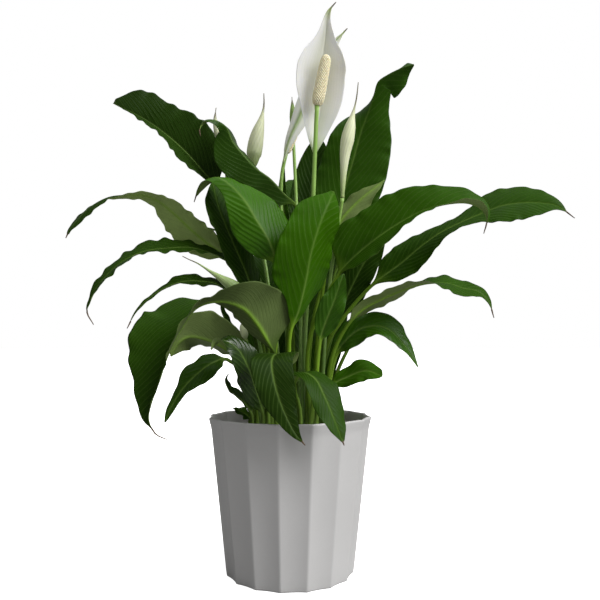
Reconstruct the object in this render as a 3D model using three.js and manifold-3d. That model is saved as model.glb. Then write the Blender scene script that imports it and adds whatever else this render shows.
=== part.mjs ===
// A potted peace lily: a tapered pot with concave flutes, its potting soil, the leaves on their petioles,
// two open flowers and six closed ones. Millimetres, +Z up, the front at -Y, the origin at the centre of
// the pot's underside.
import * as THREE from 'three';
import { mergeVertices } from 'three/addons/utils/BufferGeometryUtils.js';
import Module from 'manifold-3d';

const wasm = await Module();
wasm.setup();

// ---- driving dimensions ----
const POT_HEIGHT = 157;
const POT_BASE_RADIUS = 64.8; // across the ridges
const POT_SHOULDER_RADIUS = 81; // where the lip starts to flare
const POT_RIM_RADIUS = 84;
const LIP_HEIGHT = 14;
const WALL = 2.6;
const FLOOR = 5;
const FLUTES = 16;
const FLUTE_DEPTH = 1.2; // hollow of one flute, behind the flat between its two ridges
const FLUTE_TURN = THREE.MathUtils.degToRad(-7); // the ridge nearest the front stands this far to its left
const SEGMENTS = 64; // four to a flute

const SOIL_TOP = 132;
const SOIL_GAP = 0.4; // all round, to the pot
const FOOT_DEPTH = 14; // how deep a stem stands in its hole
const HOLE_GAP = 0.5;
const HOLE_REACH = 40; // from a hole's bottom to well above the soil
const HOLE_SIDES = 8;

const PETIOLE_RADIUS = 2.3;
const SHEATH_RADIUS = 2.9; // of a petiole where it enters the soil
const BLADE_THICKNESS = 0.7;
const BLADE_STEPS = 10;
const PETIOLE_STEPS = 3;
const COLUMNS = [-1, -0.55, 0, 0.55, 1]; // across a blade, from its right edge to its left
const BLADE_BLEND = 0.12; // share of a blade over which the petiole flattens into it
const KEEL = 1.2; // of the midrib below the blade, at its base
const SAME_POINT = 1e-4;

// ---- materials ----
const finish = (color, roughness) => new THREE.MeshStandardMaterial({ color, roughness, metalness: 0 });
const potFinish = finish(0xb4b2b0, 0.6);
const soilFinish = finish(0x3b2a1e, 0.95);
const leafFinish = finish(0x2c5212, 0.35);
const stemFinish = finish(0x6f9a35, 0.45);
const spatheFinish = finish(0xdadbd2, 0.5);
const budFinish = finish(0xc4c8a8, 0.5);
const greenBudFinish = finish(0x7c9a52, 0.5);
const spadixFinish = finish(0xe6d8a2, 0.7);

const plant = new THREE.Group();
const feet = []; // where each stem enters the soil

function add(name, geometry, material) {
  const mesh = new THREE.Mesh(geometry, material);
  mesh.name = name;
  plant.add(mesh);
}

// ---- pot and soil ----

// Radius of a fluted wall at an angle from the front, where its ridges have the given radius.
function flutedRadius(ridgeRadius, angle) {
  const pitch = (2 * Math.PI) / FLUTES;
  const turned = (angle - FLUTE_TURN) / pitch;
  const offCentre = (turned - Math.floor(turned) - 0.5) * 2; // -1 and 1 at the ridges, 0 between them
  const flat = (ridgeRadius * Math.cos(pitch / 2)) / Math.cos((offCentre * pitch) / 2);
  return flat - FLUTE_DEPTH * (1 - offCentre * offCentre);
}

// A turned profile whose points further than the given reach from the axis follow the flutes.
function fluted(profile, roundWithin) {
  const geometry = new THREE.LatheGeometry(profile.map(([r, z]) => new THREE.Vector2(r, z)), SEGMENTS);
  geometry.deleteAttribute('normal');
  geometry.deleteAttribute('uv');
  const position = geometry.getAttribute('position');
  for (let i = 0; i < position.count; i += 1) {
    const radius = Math.hypot(position.getX(i), position.getZ(i));
    if (radius < roundWithin) continue;
    const angle = FLUTE_TURN + (Math.floor(i / profile.length) * 2 * Math.PI) / SEGMENTS;
    const wanted = flutedRadius(radius, angle);
    position.setXYZ(i, wanted * Math.sin(angle), position.getY(i), wanted * Math.cos(angle));
  }
  geometry.rotateX(Math.PI / 2);
  return mergeVertices(geometry, SAME_POINT);
}

function ridgeRadiusAt(z) {
  const share = z / (POT_HEIGHT - LIP_HEIGHT);
  return POT_BASE_RADIUS + (POT_SHOULDER_RADIUS - POT_BASE_RADIUS) * share;
}

function pot() {
  const lipBottom = POT_HEIGHT - LIP_HEIGHT;
  return fluted([
    [0, 0],
    [POT_BASE_RADIUS - 1.8, 0],
    [POT_BASE_RADIUS, 1.8],
    [ridgeRadiusAt(lipBottom), lipBottom],
    [POT_RIM_RADIUS - 1.3, POT_HEIGHT - 6],
    [POT_RIM_RADIUS - 0.3, POT_HEIGHT - 2],
    [POT_RIM_RADIUS - 0.4, POT_HEIGHT - 0.6],
    [POT_RIM_RADIUS - 1.2, POT_HEIGHT],
    [POT_RIM_RADIUS - 2.6, POT_HEIGHT - 0.3],
    [POT_RIM_RADIUS - 3.3, POT_HEIGHT - 1.6],
    [ridgeRadiusAt(lipBottom) - WALL, lipBottom],
    [ridgeRadiusAt(FLOOR) - WALL, FLOOR],
    [0, FLOOR],
  ], POT_BASE_RADIUS / 2);
}

// Height of the soil's lumpy top above or below its mean.
function soilLump(x, y) {
  return 1.1 * Math.sin(x * 0.16 + 1) * Math.cos(y * 0.19) + 0.7 * Math.sin(x * 0.37 - y * 0.31);
}

function soil() {
  const inset = WALL + SOIL_GAP;
  const bottom = FLOOR + SOIL_GAP;
  const edge = ridgeRadiusAt(SOIL_TOP) - inset;
  const body = fluted([
    [0, bottom],
    [ridgeRadiusAt(bottom) - inset, bottom],
    [edge, SOIL_TOP - 1],
    [edge * 0.65, SOIL_TOP],
    [edge * 0.3, SOIL_TOP],
    [0, SOIL_TOP],
  ], POT_BASE_RADIUS * 0.85);
  const position = body.getAttribute('position');
  for (let i = 0; i < position.count; i += 1) {
    if (position.getZ(i) < SOIL_TOP - 2) continue;
    position.setZ(i, position.getZ(i) + soilLump(position.getX(i), position.getY(i)));
  }
  let ground = solid(body);
  for (const foot of feet) {
    const radius = foot.radius + HOLE_GAP;
    const hole = new THREE.CylinderGeometry(radius, radius, HOLE_REACH, HOLE_SIDES);
    hole.rotateX(Math.PI / 2);
    hole.translate(foot.x, foot.y, SOIL_TOP - FOOT_DEPTH - HOLE_GAP + HOLE_REACH / 2);
    ground = ground.subtract(solid(hole));
  }
  return fromSolid(ground);
}

function solid(geometry) {
  const bare = geometry.clone();
  bare.deleteAttribute('normal');
  bare.deleteAttribute('uv');
  const merged = mergeVertices(bare, SAME_POINT);
  return new wasm.Manifold(new wasm.Mesh({
    numProp: 3,
    vertProperties: Float32Array.from(merged.getAttribute('position').array),
    triVerts: Uint32Array.from(merged.index.array),
  }));
}

function fromSolid(manifold) {
  const mesh = manifold.getMesh();
  const geometry = new THREE.BufferGeometry();
  geometry.setAttribute('position', new THREE.BufferAttribute(Float32Array.from(mesh.vertProperties), 3));
  geometry.setIndex(new THREE.BufferAttribute(Uint32Array.from(mesh.triVerts), 1));
  return geometry;
}

// ---- lofts along a line ----

// Joins rings of points into one closed solid. A ring runs over the upper face from right to left, then back
// along the lower face, and both faces are split along the same diagonals.
function loft(rings) {
  const count = rings[0].length;
  const positions = rings.flat().flatMap((p) => [p.x, p.y, p.z]);
  const index = [];
  for (let r = 0; r + 1 < rings.length; r += 1) {
    for (let i = 0; i < count; i += 1) {
      const a = r * count + i;
      const b = r * count + ((i + 1) % count);
      const c = b + count;
      const d = a + count;
      if (i < count / 2) index.push(a, d, c, a, c, b);
      else index.push(a, d, b, b, d, c);
    }
  }
  const last = (rings.length - 1) * count;
  for (let i = 0; i + 1 < count / 2; i += 1) {
    const [a, b, c, d] = [i, i + 1, count - 2 - i, count - 1 - i];
    index.push(a, b, c, a, c, d, last + a, last + c, last + b, last + a, last + d, last + c);
  }
  const geometry = new THREE.BufferGeometry();
  geometry.setAttribute('position', new THREE.Float32BufferAttribute(positions, 3));
  geometry.setIndex(index);
  return geometry;
}

const POINTS_PER_SPAN = 40;

// A smooth line through hand-placed points, read by its length.
function line(points) {
  const curve = new THREE.CatmullRomCurve3(points.map((p) => new THREE.Vector3(...p)));
  const dense = curve.getPoints(POINTS_PER_SPAN * (points.length - 1));
  const lengths = [0];
  for (let i = 1; i < dense.length; i += 1) lengths.push(lengths[i - 1] + dense[i].distanceTo(dense[i - 1]));
  const total = lengths[lengths.length - 1];
  const at = (length) => {
    const wanted = THREE.MathUtils.clamp(length, 0, total);
    let i = 1;
    while (i < lengths.length - 1 && lengths[i] < wanted) i += 1;
    const share = (wanted - lengths[i - 1]) / (lengths[i] - lengths[i - 1]);
    return dense[i - 1].clone().lerp(dense[i], share);
  };
  const along = (length) => at(length + 1.5).sub(at(length - 1.5)).normalize();
  return { at, along, total, lengthTo: (i) => lengths[POINTS_PER_SPAN * i] };
}

// Value at a share between 0 and 1 of a short list spread evenly over it.
function spread(list, share) {
  const place = THREE.MathUtils.clamp(share, 0, 1) * (list.length - 1);
  const i = Math.min(Math.floor(place), list.length - 2);
  return list.length === 1 ? list[0] : THREE.MathUtils.lerp(list[i], list[i + 1], place - i);
}

// The two directions across a line: towards the left edge, and out of the upper face. The heading is the side
// that a leaf leans to, in degrees from +X towards +Y, and the roll turns the blade about its midrib.
function across(direction, heading, roll) {
  const turn = THREE.MathUtils.degToRad(heading);
  const level = new THREE.Vector3(-Math.sin(turn), Math.cos(turn), 0);
  const left = level.addScaledVector(direction, -level.dot(direction)).normalize();
  left.applyAxisAngle(direction, THREE.MathUtils.degToRad(roll));
  return { left, up: direction.clone().cross(left) };
}

function roundRing(centre, left, up, radius, count) {
  const ring = [];
  for (let i = 0; i < count; i += 1) {
    const angle = Math.PI * (1 - (2 * i + 1) / count);
    const place = centre.clone().addScaledVector(left, radius * Math.cos(angle));
    ring.push(place.addScaledVector(up, radius * Math.sin(angle)));
  }
  return ring;
}

// Half the width of a blade at a share of its length, 1 at its widest place: by a list spread evenly from its
// base to its tip, or else by a rule, where the belly is the share at which it is widest.
function outline(share, { belly, fullness, widths }) {
  if (widths) return spread(widths, share);
  if (share <= 0 || share >= 1) return 0;
  return ((share / belly) ** belly * ((1 - share) / (1 - belly)) ** (1 - belly)) ** fullness;
}

// One ring of a blade. Each half leaves the midrib at the fold's angle and bends by the curl on its way to
// the edge. The lean is the share by which the left half is wider than the mean of the two, and the right
// half narrower.
function bladeRing(centre, left, up, shape) {
  const { half, lean, fold, curl, wave, wavePhase, rib } = shape;
  const upper = [];
  const lower = [];
  for (const q of COLUMNS) {
    const side = Math.sign(q);
    const end = fold + curl * Math.abs(q);
    const bent = Math.abs(curl) > 1e-3;
    const out = bent ? (Math.sin(end) - Math.sin(fold)) / curl : Math.abs(q) * Math.cos(fold);
    const rise = bent ? (Math.cos(fold) - Math.cos(end)) / curl : Math.abs(q) * Math.sin(fold);
    const ripple = wave * q * q * Math.sin(wavePhase + (side < 0 ? 1.3 : 0));
    const reach = half * (1 + lean * side);
    const middle = centre.clone().addScaledVector(left, side * reach * out);
    middle.addScaledVector(up, reach * rise + ripple);
    const normal = left.clone().multiplyScalar(-side * Math.sin(end));
    normal.addScaledVector(up, side === 0 ? 1 : Math.cos(end));
    upper.push(middle.clone().addScaledVector(normal, BLADE_THICKNESS / 2));
    lower.push(middle.clone().addScaledVector(normal, -BLADE_THICKNESS / 2 - (side === 0 ? rib : 0)));
  }
  return [...upper, ...lower.reverse()];
}

function mixRings(a, b, share) {
  return a.map((p, i) => p.clone().lerp(b[i], share));
}

// A leaf: a petiole that stands in the soil and runs on as the midrib of its blade, with a dry tail on some.
function leaf(row) {
  const {
    foot, spine, from, half, heading, lean = [0], roll = [0], fold = [14], curl = -20,
    wave = 2, waves = 2.2, phase = 0, belly = 0.42, fullness = 1.7, widths, tail = 0, steps = BLADE_STEPS,
  } = row;
  const run = line([[...foot, SOIL_TOP + 1], ...spine]);
  const start = run.lengthTo(from);
  const end = run.total - tail;
  const rings = [];
  const petiole = (place, direction, radius) => {
    const { left, up } = across(direction, heading, spread(roll, 0));
    return roundRing(place, left, up, radius, COLUMNS.length * 2);
  };
  const upright = new THREE.Vector3(0, 0, 1);
  rings.push(petiole(new THREE.Vector3(...foot, SOIL_TOP - FOOT_DEPTH), upright, SHEATH_RADIUS));
  rings.push(petiole(new THREE.Vector3(...foot, SOIL_TOP + 2), upright, SHEATH_RADIUS));
  for (let i = 1; i < PETIOLE_STEPS; i += 1) {
    const length = (start * i) / PETIOLE_STEPS;
    const radius = THREE.MathUtils.lerp(PETIOLE_RADIUS * 1.1, PETIOLE_RADIUS * 0.8, i / PETIOLE_STEPS);
    rings.push(petiole(run.at(length), run.along(length), radius));
  }
  for (let i = 0; i <= steps; i += 1) {
    const share = i / steps;
    const length = THREE.MathUtils.lerp(start, end, share);
    const direction = run.along(length);
    const { left, up } = across(direction, heading, spread(roll, share));
    const place = run.at(length);
    const width = outline(share, { belly, fullness, widths });
    const flat = THREE.MathUtils.smoothstep(share, 0, BLADE_BLEND);
    const blade = bladeRing(place, left, up, {
      half: Math.max(half * width, 0.9),
      lean: spread(lean, share),
      fold: THREE.MathUtils.degToRad(spread(fold, share)),
      curl: THREE.MathUtils.degToRad(curl),
      wave: wave * width,
      wavePhase: phase + waves * 2 * Math.PI * share,
      rib: KEEL * (1 - share),
    });
    const stalk = roundRing(place, left, up, PETIOLE_RADIUS * 0.8, COLUMNS.length * 2);
    rings.push(mixRings(stalk, blade, flat));
  }
  if (tail > 0) {
    const direction = run.along(run.total);
    const { left, up } = across(direction, heading, spread(roll, 1));
    rings.push(roundRing(run.at(run.total), left, up, 0.45, COLUMNS.length * 2));
  }
  feet.push({ x: foot[0], y: foot[1], radius: SHEATH_RADIUS });
  return loft(rings);
}

// ---- leaves ----
// foot: where the petiole enters the soil. spine: points of the petiole and midrib above it, up to the tip.
// from: the point of that run, counted from the foot as 0, where the blade begins. half: half its width.
const LEAVES = {
  leaf_left_top: {
    foot: [-8, 20], heading: 165, from: 3, half: 39, roll: [-42], fold: [38], curl: -4,
    widths: [0, 0.48, 0.8, 0.93, 1, 0.96, 0.86, 0.82, 0.78, 0.6, 0.14],
    spine: [[-20, 26, 256], [-50, 38, 338], [-80, 37, 401], [-95, 38, 419], [-122, 35, 449],
      [-156, 27, 475], [-193, 14, 492]],
  },
  leaf_left_hooked: {
    foot: [0, 8], heading: 150, from: 3, half: 31, roll: [-25], fold: [-40], curl: 0, tail: 8,
    widths: [0, 0.5, 0.8, 0.97, 1, 1, 0.95, 0.55, 0.24, 0.15, 0.05],
    spine: [[-2, 8, 245], [8, 11, 309], [7, 12, 376], [-8, 13, 394], [-22, 13, 409],
      [-37, 12, 420], [-49, 10, 432], [-62, 7, 448], [-69, 4, 463], [-79, 1, 469], [-91, -2, 468],
      [-96, -4, 460], [-95, -4, 450]],
  },
  leaf_left_facing: {
    foot: [-12, -20], heading: 125, from: 3, half: 32, lean: [-0.16], roll: [-20], fold: [-15],
    curl: -6, tail: 8, widths: [0, 0.62, 0.93, 1, 0.95, 0.8, 0.58, 0.42, 0.34, 0.22, 0.05],
    spine: [[-15, -27, 215], [-10, -33, 274], [-12, -36, 306], [-20, -39, 332], [-33, -38, 354],
      [-45, -35, 374], [-60, -30, 391], [-75, -24, 401], [-87, -19, 399], [-95, -14, 390],
      [-100, -10, 378]],
  },
  leaf_left_shaded: {
    foot: [-18, -6], heading: 130, from: 2, half: 20,
    widths: [0, 0.6, 0.85, 0.9, 0.92, 0.95, 0.96, 0.9, 0.75, 0.45, 0.05],
    spine: [[-24, -12, 235], [-36, -12, 276], [-45, -12, 303], [-56, -11, 328], [-66, -10, 351],
      [-74, -8, 371], [-79, -4, 388], [-82, 0, 403]],
  },
  leaf_left_upper: {
    foot: [-22, 8], heading: 180, from: 3, half: 22, roll: [50, 50, 50, 40, -5, -35, -50],
    fold: [-12], curl: 0, tail: 5, steps: 12,
    widths: [0, 0.5, 0.88, 1, 1, 0.9, 0.5, 0.36, 0.4, 0.44, 0.44, 0.36, 0.12],
    spine: [[-28, 10, 235], [-44, 13, 285], [-62, 14, 318], [-84, 15, 335], [-106, 14, 353],
      [-123, 10, 369], [-141, 6, 383], [-156, 0, 388], [-173, -4, 387], [-190, -8, 384],
      [-207, -12, 373], [-219, -15, 359], [-226, -17, 349], [-230, -18, 339]],
  },
  leaf_left_middle: {
    foot: [-26, -2], heading: 182, from: 3, half: 16, roll: [-20, -32, -34], curl: -6, tail: 18,
    widths: [0, 0.6, 0.9, 1, 1, 1, 0.95, 0.85, 0.66, 0.4, 0.12],
    spine: [[-29, 0, 235], [-42, 1, 278], [-53, 1, 310], [-70, -1, 320], [-88, -3, 327],
      [-105, -4, 331], [-128, -6, 330], [-152, -9, 326], [-173, -13, 315], [-187, -15, 302],
      [-197, -17, 289], [-203, -19, 274], [-206, -20, 263], [-199, -20, 250]],
  },
  leaf_left_narrow: {
    foot: [-30, -8], heading: 185, from: 3, half: 12, roll: [-28], curl: -6, tail: 9, steps: 8,
    widths: [0, 0.7, 1, 1, 0.9, 0.62, 0.42, 0.25, 0.08],
    spine: [[-33, -6, 224], [-45, -6, 262], [-56, -6, 279], [-75, -8, 292], [-93, -11, 295],
      [-111, -15, 294], [-128, -19, 287], [-143, -23, 276], [-155, -26, 262], [-163, -28, 246]],
  },
  leaf_left_hanging: {
    foot: [-22, -26], heading: 200, from: 2, half: 35,
    lean: [0.45, 0.45, 0.2, -0.2, -0.27, -0.27, -0.27],
    roll: [58, 58, 58, 58, 35, 10, -5, -15, -22, -28, -30, -30, -30, -30],
    fold: [30, 30, 30, 30, 25, 15, 18, 27, 36, 45, 45, 45, 45, 45], curl: -8, tail: 20, steps: 13,
    widths: [0, 0.56, 0.75, 0.77, 0.67, 0.66, 0.82, 0.98, 1, 0.93, 0.76, 0.52, 0.28, 0.04],
    spine: [[-19, -34, 205], [-14, -38, 219], [-21, -46, 233], [-32, -56, 251], [-44, -67, 264],
      [-64, -74, 270], [-84, -84, 264], [-97, -93, 244], [-108, -95, 221], [-116, -96, 196],
      [-123, -95, 176], [-125, -94, 163], [-119, -93, 150], [-109, -92, 145]],
  },
  leaf_left_behind: {
    foot: [-34, -14], heading: 160, from: 2, half: 31, roll: [50], fold: [30], curl: -6, steps: 8,
    spine: [[-35, -18, 185], [-48, -14, 210], [-64, -16, 224], [-84, -19, 234], [-102, -22, 237],
      [-112, -24, 231], [-119, -26, 218]],
  },
  leaf_left_spear: {
    foot: [-26, -14], heading: 150, from: 2, half: 7, steps: 6, curl: 20, wave: 0,
    spine: [[-28, -14, 189], [-42, -12, 210], [-54, -10, 231], [-64, -8, 250], [-71, -5, 267],
      [-69, -2, 283]],
  },
  leaf_left_low: {
    foot: [-36, -2], heading: 190, from: 3, half: 15, roll: [-50, -50, -70], steps: 8,
    widths: [0, 0.75, 1, 1, 0.82, 0.5, 0.34, 0.26, 0.06],
    spine: [[-38, -10, 180], [-50, -18, 204], [-63, -24, 215], [-78, -32, 211], [-91, -36, 201],
      [-104, -40, 187], [-114, -44, 170], [-120, -46, 155]],
  },
  leaf_front_glossy: {
    foot: [-30, -34], heading: 130, from: 1, half: 17, steps: 8,
    spine: [[-26, -44, 162], [-31, -52, 184], [-39, -58, 208], [-48, -64, 225], [-59, -68, 233],
      [-68, -70, 233], [-73, -70, 225]],
  },
  leaf_small_curl: {
    foot: [-38, -22], heading: 150, from: 1, half: 7, steps: 6, curl: 30, wave: 0,
    spine: [[-38, -26, 160], [-44, -34, 172], [-52, -40, 180], [-59, -44, 187], [-62, -46, 196],
      [-59, -47, 202]],
  },
  leaf_small_rim: {
    foot: [-44, -16], heading: 180, from: 1, half: 6, steps: 6, roll: [-40],
    spine: [[-40, -20, 155], [-46, -25, 162], [-56, -30, 167]],
  },
  leaf_centre_bright: {
    foot: [2, -22], heading: 95, from: 3, half: 35, roll: [25], fold: [-20], curl: -8,
    widths: [0, 0.24, 0.44, 0.84, 0.98, 1, 0.94, 0.84, 0.74, 0.46, 0.06],
    spine: [[2, -30, 175], [0, -38, 208], [1, -42, 242], [9, -48, 262], [16, -54, 290],
      [21, -58, 317], [29, -58, 344], [36, -53, 362], [41, -46, 374], [44, -38, 383]],
  },
  leaf_centre_small: {
    foot: [18, -20], heading: 80, from: 3, half: 13, steps: 8,
    widths: [0, 0.5, 0.85, 1, 1, 0.9, 0.7, 0.45, 0.06],
    spine: [[24, -26, 175], [27, -29, 200], [30, -33, 232], [36, -37, 252], [44, -39, 272],
      [50, -39, 289], [54, -37, 300]],
  },
  leaf_front_left: {
    foot: [-8, -36], heading: -90, from: 2, half: 19, tail: 5,
    widths: [0, 0.75, 1, 1, 1, 0.98, 0.9, 0.76, 0.55, 0.32, 0.06],
    spine: [[-6, -46, 172], [-8, -56, 200], [-8, -64, 217], [-12, -78, 221], [-15, -93, 214],
      [-12, -101, 196], [-5, -104, 175], [6, -107, 153], [15, -108, 142]],
  },
  leaf_front_right: {
    foot: [10, -38], heading: -60, from: 2, half: 16, tail: 4, steps: 8,
    widths: [0, 0.6, 0.95, 1, 1, 0.96, 0.82, 0.6, 0.12],
    spine: [[10, -50, 167], [5, -66, 191], [12, -80, 204], [24, -94, 199], [33, -102, 182],
      [41, -106, 163], [49, -108, 142]],
  },
  leaf_right_top: {
    foot: [16, 14], heading: 75, from: 3, half: 40, lean: [-0.06],
    roll: [0, 0, 0, 0, 0, 0, 0, 0, 0, -15, -32, -45, -45, -45, -45],
    fold: [10, 10, 10, 10, 10, 10, 10, 10, 8, 0, -25, -45, -45, -45, -45], steps: 14,
    widths: [0, 0.4, 0.74, 0.9, 0.98, 1, 1, 0.97, 0.88, 0.7, 0.5, 0.42, 0.62, 0.5, 0.03],
    spine: [[23, 22, 246], [36, 28, 300], [44, 34, 336], [53, 40, 374], [61, 45, 406],
      [71, 48, 439], [80, 48, 471], [89, 45, 496], [94, 41, 512], [98, 37, 525], [108, 32, 531],
      [122, 26, 536], [136, 20, 538]],
  },
  leaf_right_light: {
    foot: [22, 6], heading: 240, from: 3, half: 18, roll: [0],
    spine: [[30, 12, 245], [38, 18, 310], [45, 20, 343], [56, 21, 366], [71, 22, 383],
      [87, 23, 397], [103, 25, 410]],
  },
  leaf_right_large: {
    foot: [22, -7], heading: 0, from: 3, half: 34, roll: [50, 50, 38, 24], fold: [34], curl: -6,
    tail: 12, widths: [0, 0.7, 0.98, 1, 1, 0.95, 0.84, 0.72, 0.66, 0.46, 0.06],
    spine: [[19, -14, 229], [32, -19, 268], [48, -22, 298], [57, -25, 310], [73, -29, 325],
      [94, -33, 341], [113, -35, 353], [135, -37, 364], [159, -39, 370], [179, -40, 370],
      [192, -40, 363], [196, -40, 352], [193, -40, 340]],
  },
  leaf_right_far: {
    foot: [32, 4], heading: 0, from: 3, half: 26, roll: [60, 60, 45, 35, 45, 60, 60], tail: 12,
    steps: 14,
    widths: [0, 0.42, 0.7, 0.8, 0.76, 0.64, 0.48, 0.42, 0.55, 0.85, 1, 0.96, 0.8, 0.45, 0.05],
    spine: [[37, 6, 224], [54, 8, 255], [84, 10, 290], [100, 8, 303], [119, 7, 317],
      [139, 5, 334], [159, 3, 348], [179, 1, 358], [200, -1, 367], [221, -4, 375], [243, -7, 378],
      [264, -10, 377], [277, -12, 374], [294, -16, 360]],
  },
  leaf_right_middle: {
    foot: [34, -14], heading: 0, from: 3, half: 20, roll: [-32, -30, -22, -5, 25, 40, 40],
    tail: 10, steps: 12,
    widths: [0, 0.5, 0.75, 0.8, 0.82, 0.85, 0.92, 1, 1, 0.9, 0.7, 0.42, 0.06],
    spine: [[39, -20, 196], [44, -26, 222], [57, -30, 248], [72, -33, 264], [92, -35, 275],
      [114, -37, 284], [135, -40, 290], [156, -41, 290], [172, -42, 285], [186, -42, 282],
      [196, -42, 272], [201, -42, 256]],
  },
  leaf_right_lower: {
    foot: [36, -4], heading: 10, from: 2, half: 16, roll: [55], fold: [22], steps: 8,
    spine: [[39, -10, 178], [47, -13, 218], [59, -18, 236], [75, -22, 247], [95, -26, 247],
      [111, -28, 234], [128, -31, 207]],
  },
  leaf_right_low: {
    foot: [34, -26], heading: 0, from: 2, half: 12, roll: [55], steps: 8, belly: 0.55, fullness: 1.1,
    spine: [[36, -36, 171], [42, -42, 190], [57, -48, 199], [74, -54, 205], [89, -58, 200]],
  },
  leaf_right_behind: {
    foot: [26, 16], heading: 30, from: 2, half: 20, roll: [40],
    spine: [[35, 27, 202], [51, 38, 255], [63, 44, 283], [78, 48, 313], [94, 50, 340],
      [110, 52, 365]],
  },
  leaf_middle_spear: {
    foot: [6, 22], heading: 90, from: 2, half: 6, steps: 6, curl: 20, wave: 0,
    spine: [[2, 36, 246], [-4, 52, 345], [-10, 60, 406], [-8, 62, 441]],
  },
  leaf_back_centre: {
    foot: [10, 26], heading: 90, from: 1, half: 27, belly: 0.55, fullness: 1.1,
    spine: [[11, 36, 200], [13, 46, 250], [23, 78, 405], [28, 82, 444], [33, 80, 474]],
  },
  leaf_back_high: {
    foot: [4, 32], heading: 92, from: 2, half: 25, steps: 7,
    spine: [[8, 50, 250], [12, 82, 345], [14, 120, 412], [10, 165, 444], [6, 200, 434]],
  },
  leaf_back_middle: {
    foot: [28, 38], heading: 75, from: 1, half: 27, steps: 7,
    spine: [[29, 43, 160], [33, 56, 212], [44, 90, 284], [54, 130, 335], [61, 165, 338],
      [64, 192, 318]],
  },
  leaf_back_near: {
    foot: [-20, 40], heading: 108, from: 1, half: 28, steps: 7,
    spine: [[-21, 45, 160], [-24, 58, 222], [-29, 88, 298], [-37, 128, 338], [-44, 164, 332],
      [-48, 190, 305]],
  },
  leaf_back_low: {
    foot: [6, 44], heading: 92, from: 1, half: 30, steps: 7, fullness: 1.3,
    spine: [[6, 50, 154], [5, 66, 184], [2, 98, 222], [-3, 138, 238], [-6, 172, 224],
      [-8, 192, 198]],
  },
  leaf_back_right: {
    foot: [22, 26], heading: 48, from: 2, half: 22, steps: 7,
    spine: [[32, 46, 235], [52, 76, 315], [76, 106, 362], [100, 135, 380], [120, 158, 365]],
  },
  leaf_back_right_low: {
    foot: [30, 26], heading: 42, from: 2, half: 18, steps: 7,
    spine: [[47, 37, 190], [73, 58, 238], [98, 86, 256], [120, 109, 250], [136, 125, 234]],
  },
  leaf_back_left: {
    foot: [-12, 30], heading: 135, from: 2, half: 20, steps: 7,
    spine: [[-22, 46, 235], [-46, 76, 312], [-75, 100, 358], [-100, 120, 372], [-120, 138, 362]],
  },
  leaf_back_left_low: {
    foot: [-24, 24], heading: 138, from: 2, half: 18, steps: 7,
    spine: [[-42, 34, 190], [-67, 57, 235], [-88, 83, 250], [-106, 103, 240]],
  },
};
for (const [name, row] of Object.entries(LEAVES)) add(name, leaf(row), leafFinish);

// ---- flowers ----
const STALK_SIDES = 8;
const STALK_STEPS = 6;
const SEAT_GAP = 0.8; // between a stalk's end and what stands on it

// The stalk of a flower, from the soil to its end.
function stalk(foot, spine, radius) {
  const run = line([[...foot, SOIL_TOP + 1], ...spine]);
  const rings = [];
  const addRing = (place, direction, r) => {
    const { left, up } = across(direction, 0, 0);
    rings.push(roundRing(place, left, up, r, STALK_SIDES));
  };
  const upright = new THREE.Vector3(0, 0, 1);
  addRing(new THREE.Vector3(...foot, SOIL_TOP - FOOT_DEPTH), upright, radius);
  addRing(new THREE.Vector3(...foot, SOIL_TOP + 2), upright, radius);
  for (let i = 1; i <= STALK_STEPS; i += 1) {
    const length = (run.total * i) / STALK_STEPS;
    addRing(run.at(length), run.along(length), radius);
  }
  feet.push({ x: foot[0], y: foot[1], radius });
  return loft(rings);
}

// A closed spathe: a spindle rolled round itself, drawn out to a dry thread.
function bud(spine, from, radius, shape) {
  const run = line(spine);
  const rings = [];
  const steps = 8;
  for (let i = 0; i <= steps; i += 1) {
    const share = i / steps;
    const length = SEAT_GAP + (run.total - SEAT_GAP) * share;
    const { left, up } = across(run.along(length), 0, 0);
    const swell = outline(share, { fullness: 2.4, ...shape }) * radius;
    const least = share < 0.35 && !shape.widths ? from : 0.5;
    rings.push(roundRing(run.at(length), left, up, Math.max(swell, least), STALK_SIDES));
  }
  return loft(rings);
}

// An open spathe: a thin shield behind the spadix.
function spathe(spine, shape) {
  const {
    heading, half, roll = [0], fold = [12], curl = 14, belly = 0.55, fullness = 2.2, widths,
    tail = 0, steps = 12,
  } = shape;
  const run = line(spine);
  const end = run.total - tail;
  const rings = [];
  for (let i = 0; i <= steps; i += 1) {
    const share = i / steps;
    const length = end * share;
    const { left, up } = across(run.along(length), heading, spread(roll, share));
    rings.push(bladeRing(run.at(length), left, up, {
      half: Math.max(half * outline(share, { belly, fullness, widths }), 1.1),
      lean: 0,
      fold: THREE.MathUtils.degToRad(spread(fold, share)),
      curl: THREE.MathUtils.degToRad(curl),
      wave: 0,
      wavePhase: 0,
      rib: 0.4 * (1 - share),
    }));
  }
  if (tail > 0) {
    const { left, up } = across(run.along(run.total), heading, spread(roll, 1));
    rings.push(roundRing(run.at(run.total), left, up, 0.6, COLUMNS.length * 2));
  }
  return loft(rings);
}

// The club of small florets: bumps in rows that are set half a pitch apart.
function spadix(base, tip, radius) {
  const from = new THREE.Vector3(...base);
  const to = new THREE.Vector3(...tip);
  const direction = to.clone().sub(from).normalize();
  const { left, up } = across(direction, 0, 0);
  const sides = 14;
  const rows = 20;
  const bump = 0.45;
  const rings = [];
  for (let r = 0; r <= rows; r += 1) {
    const share = r / rows;
    const round = Math.sqrt(Math.max(0.06, 1 - (2 * share - 1) ** 8)) * (1 - 0.18 * share);
    const ring = roundRing(from.clone().lerp(to, share), left, up, radius * round, sides);
    const centre = from.clone().lerp(to, share);
    rings.push(ring.map((p, i) => {
      const outward = p.clone().sub(centre).normalize();
      return p.clone().addScaledVector(outward, (i + r) % 2 ? bump : -bump);
    }));
  }
  return loft(rings);
}

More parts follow.
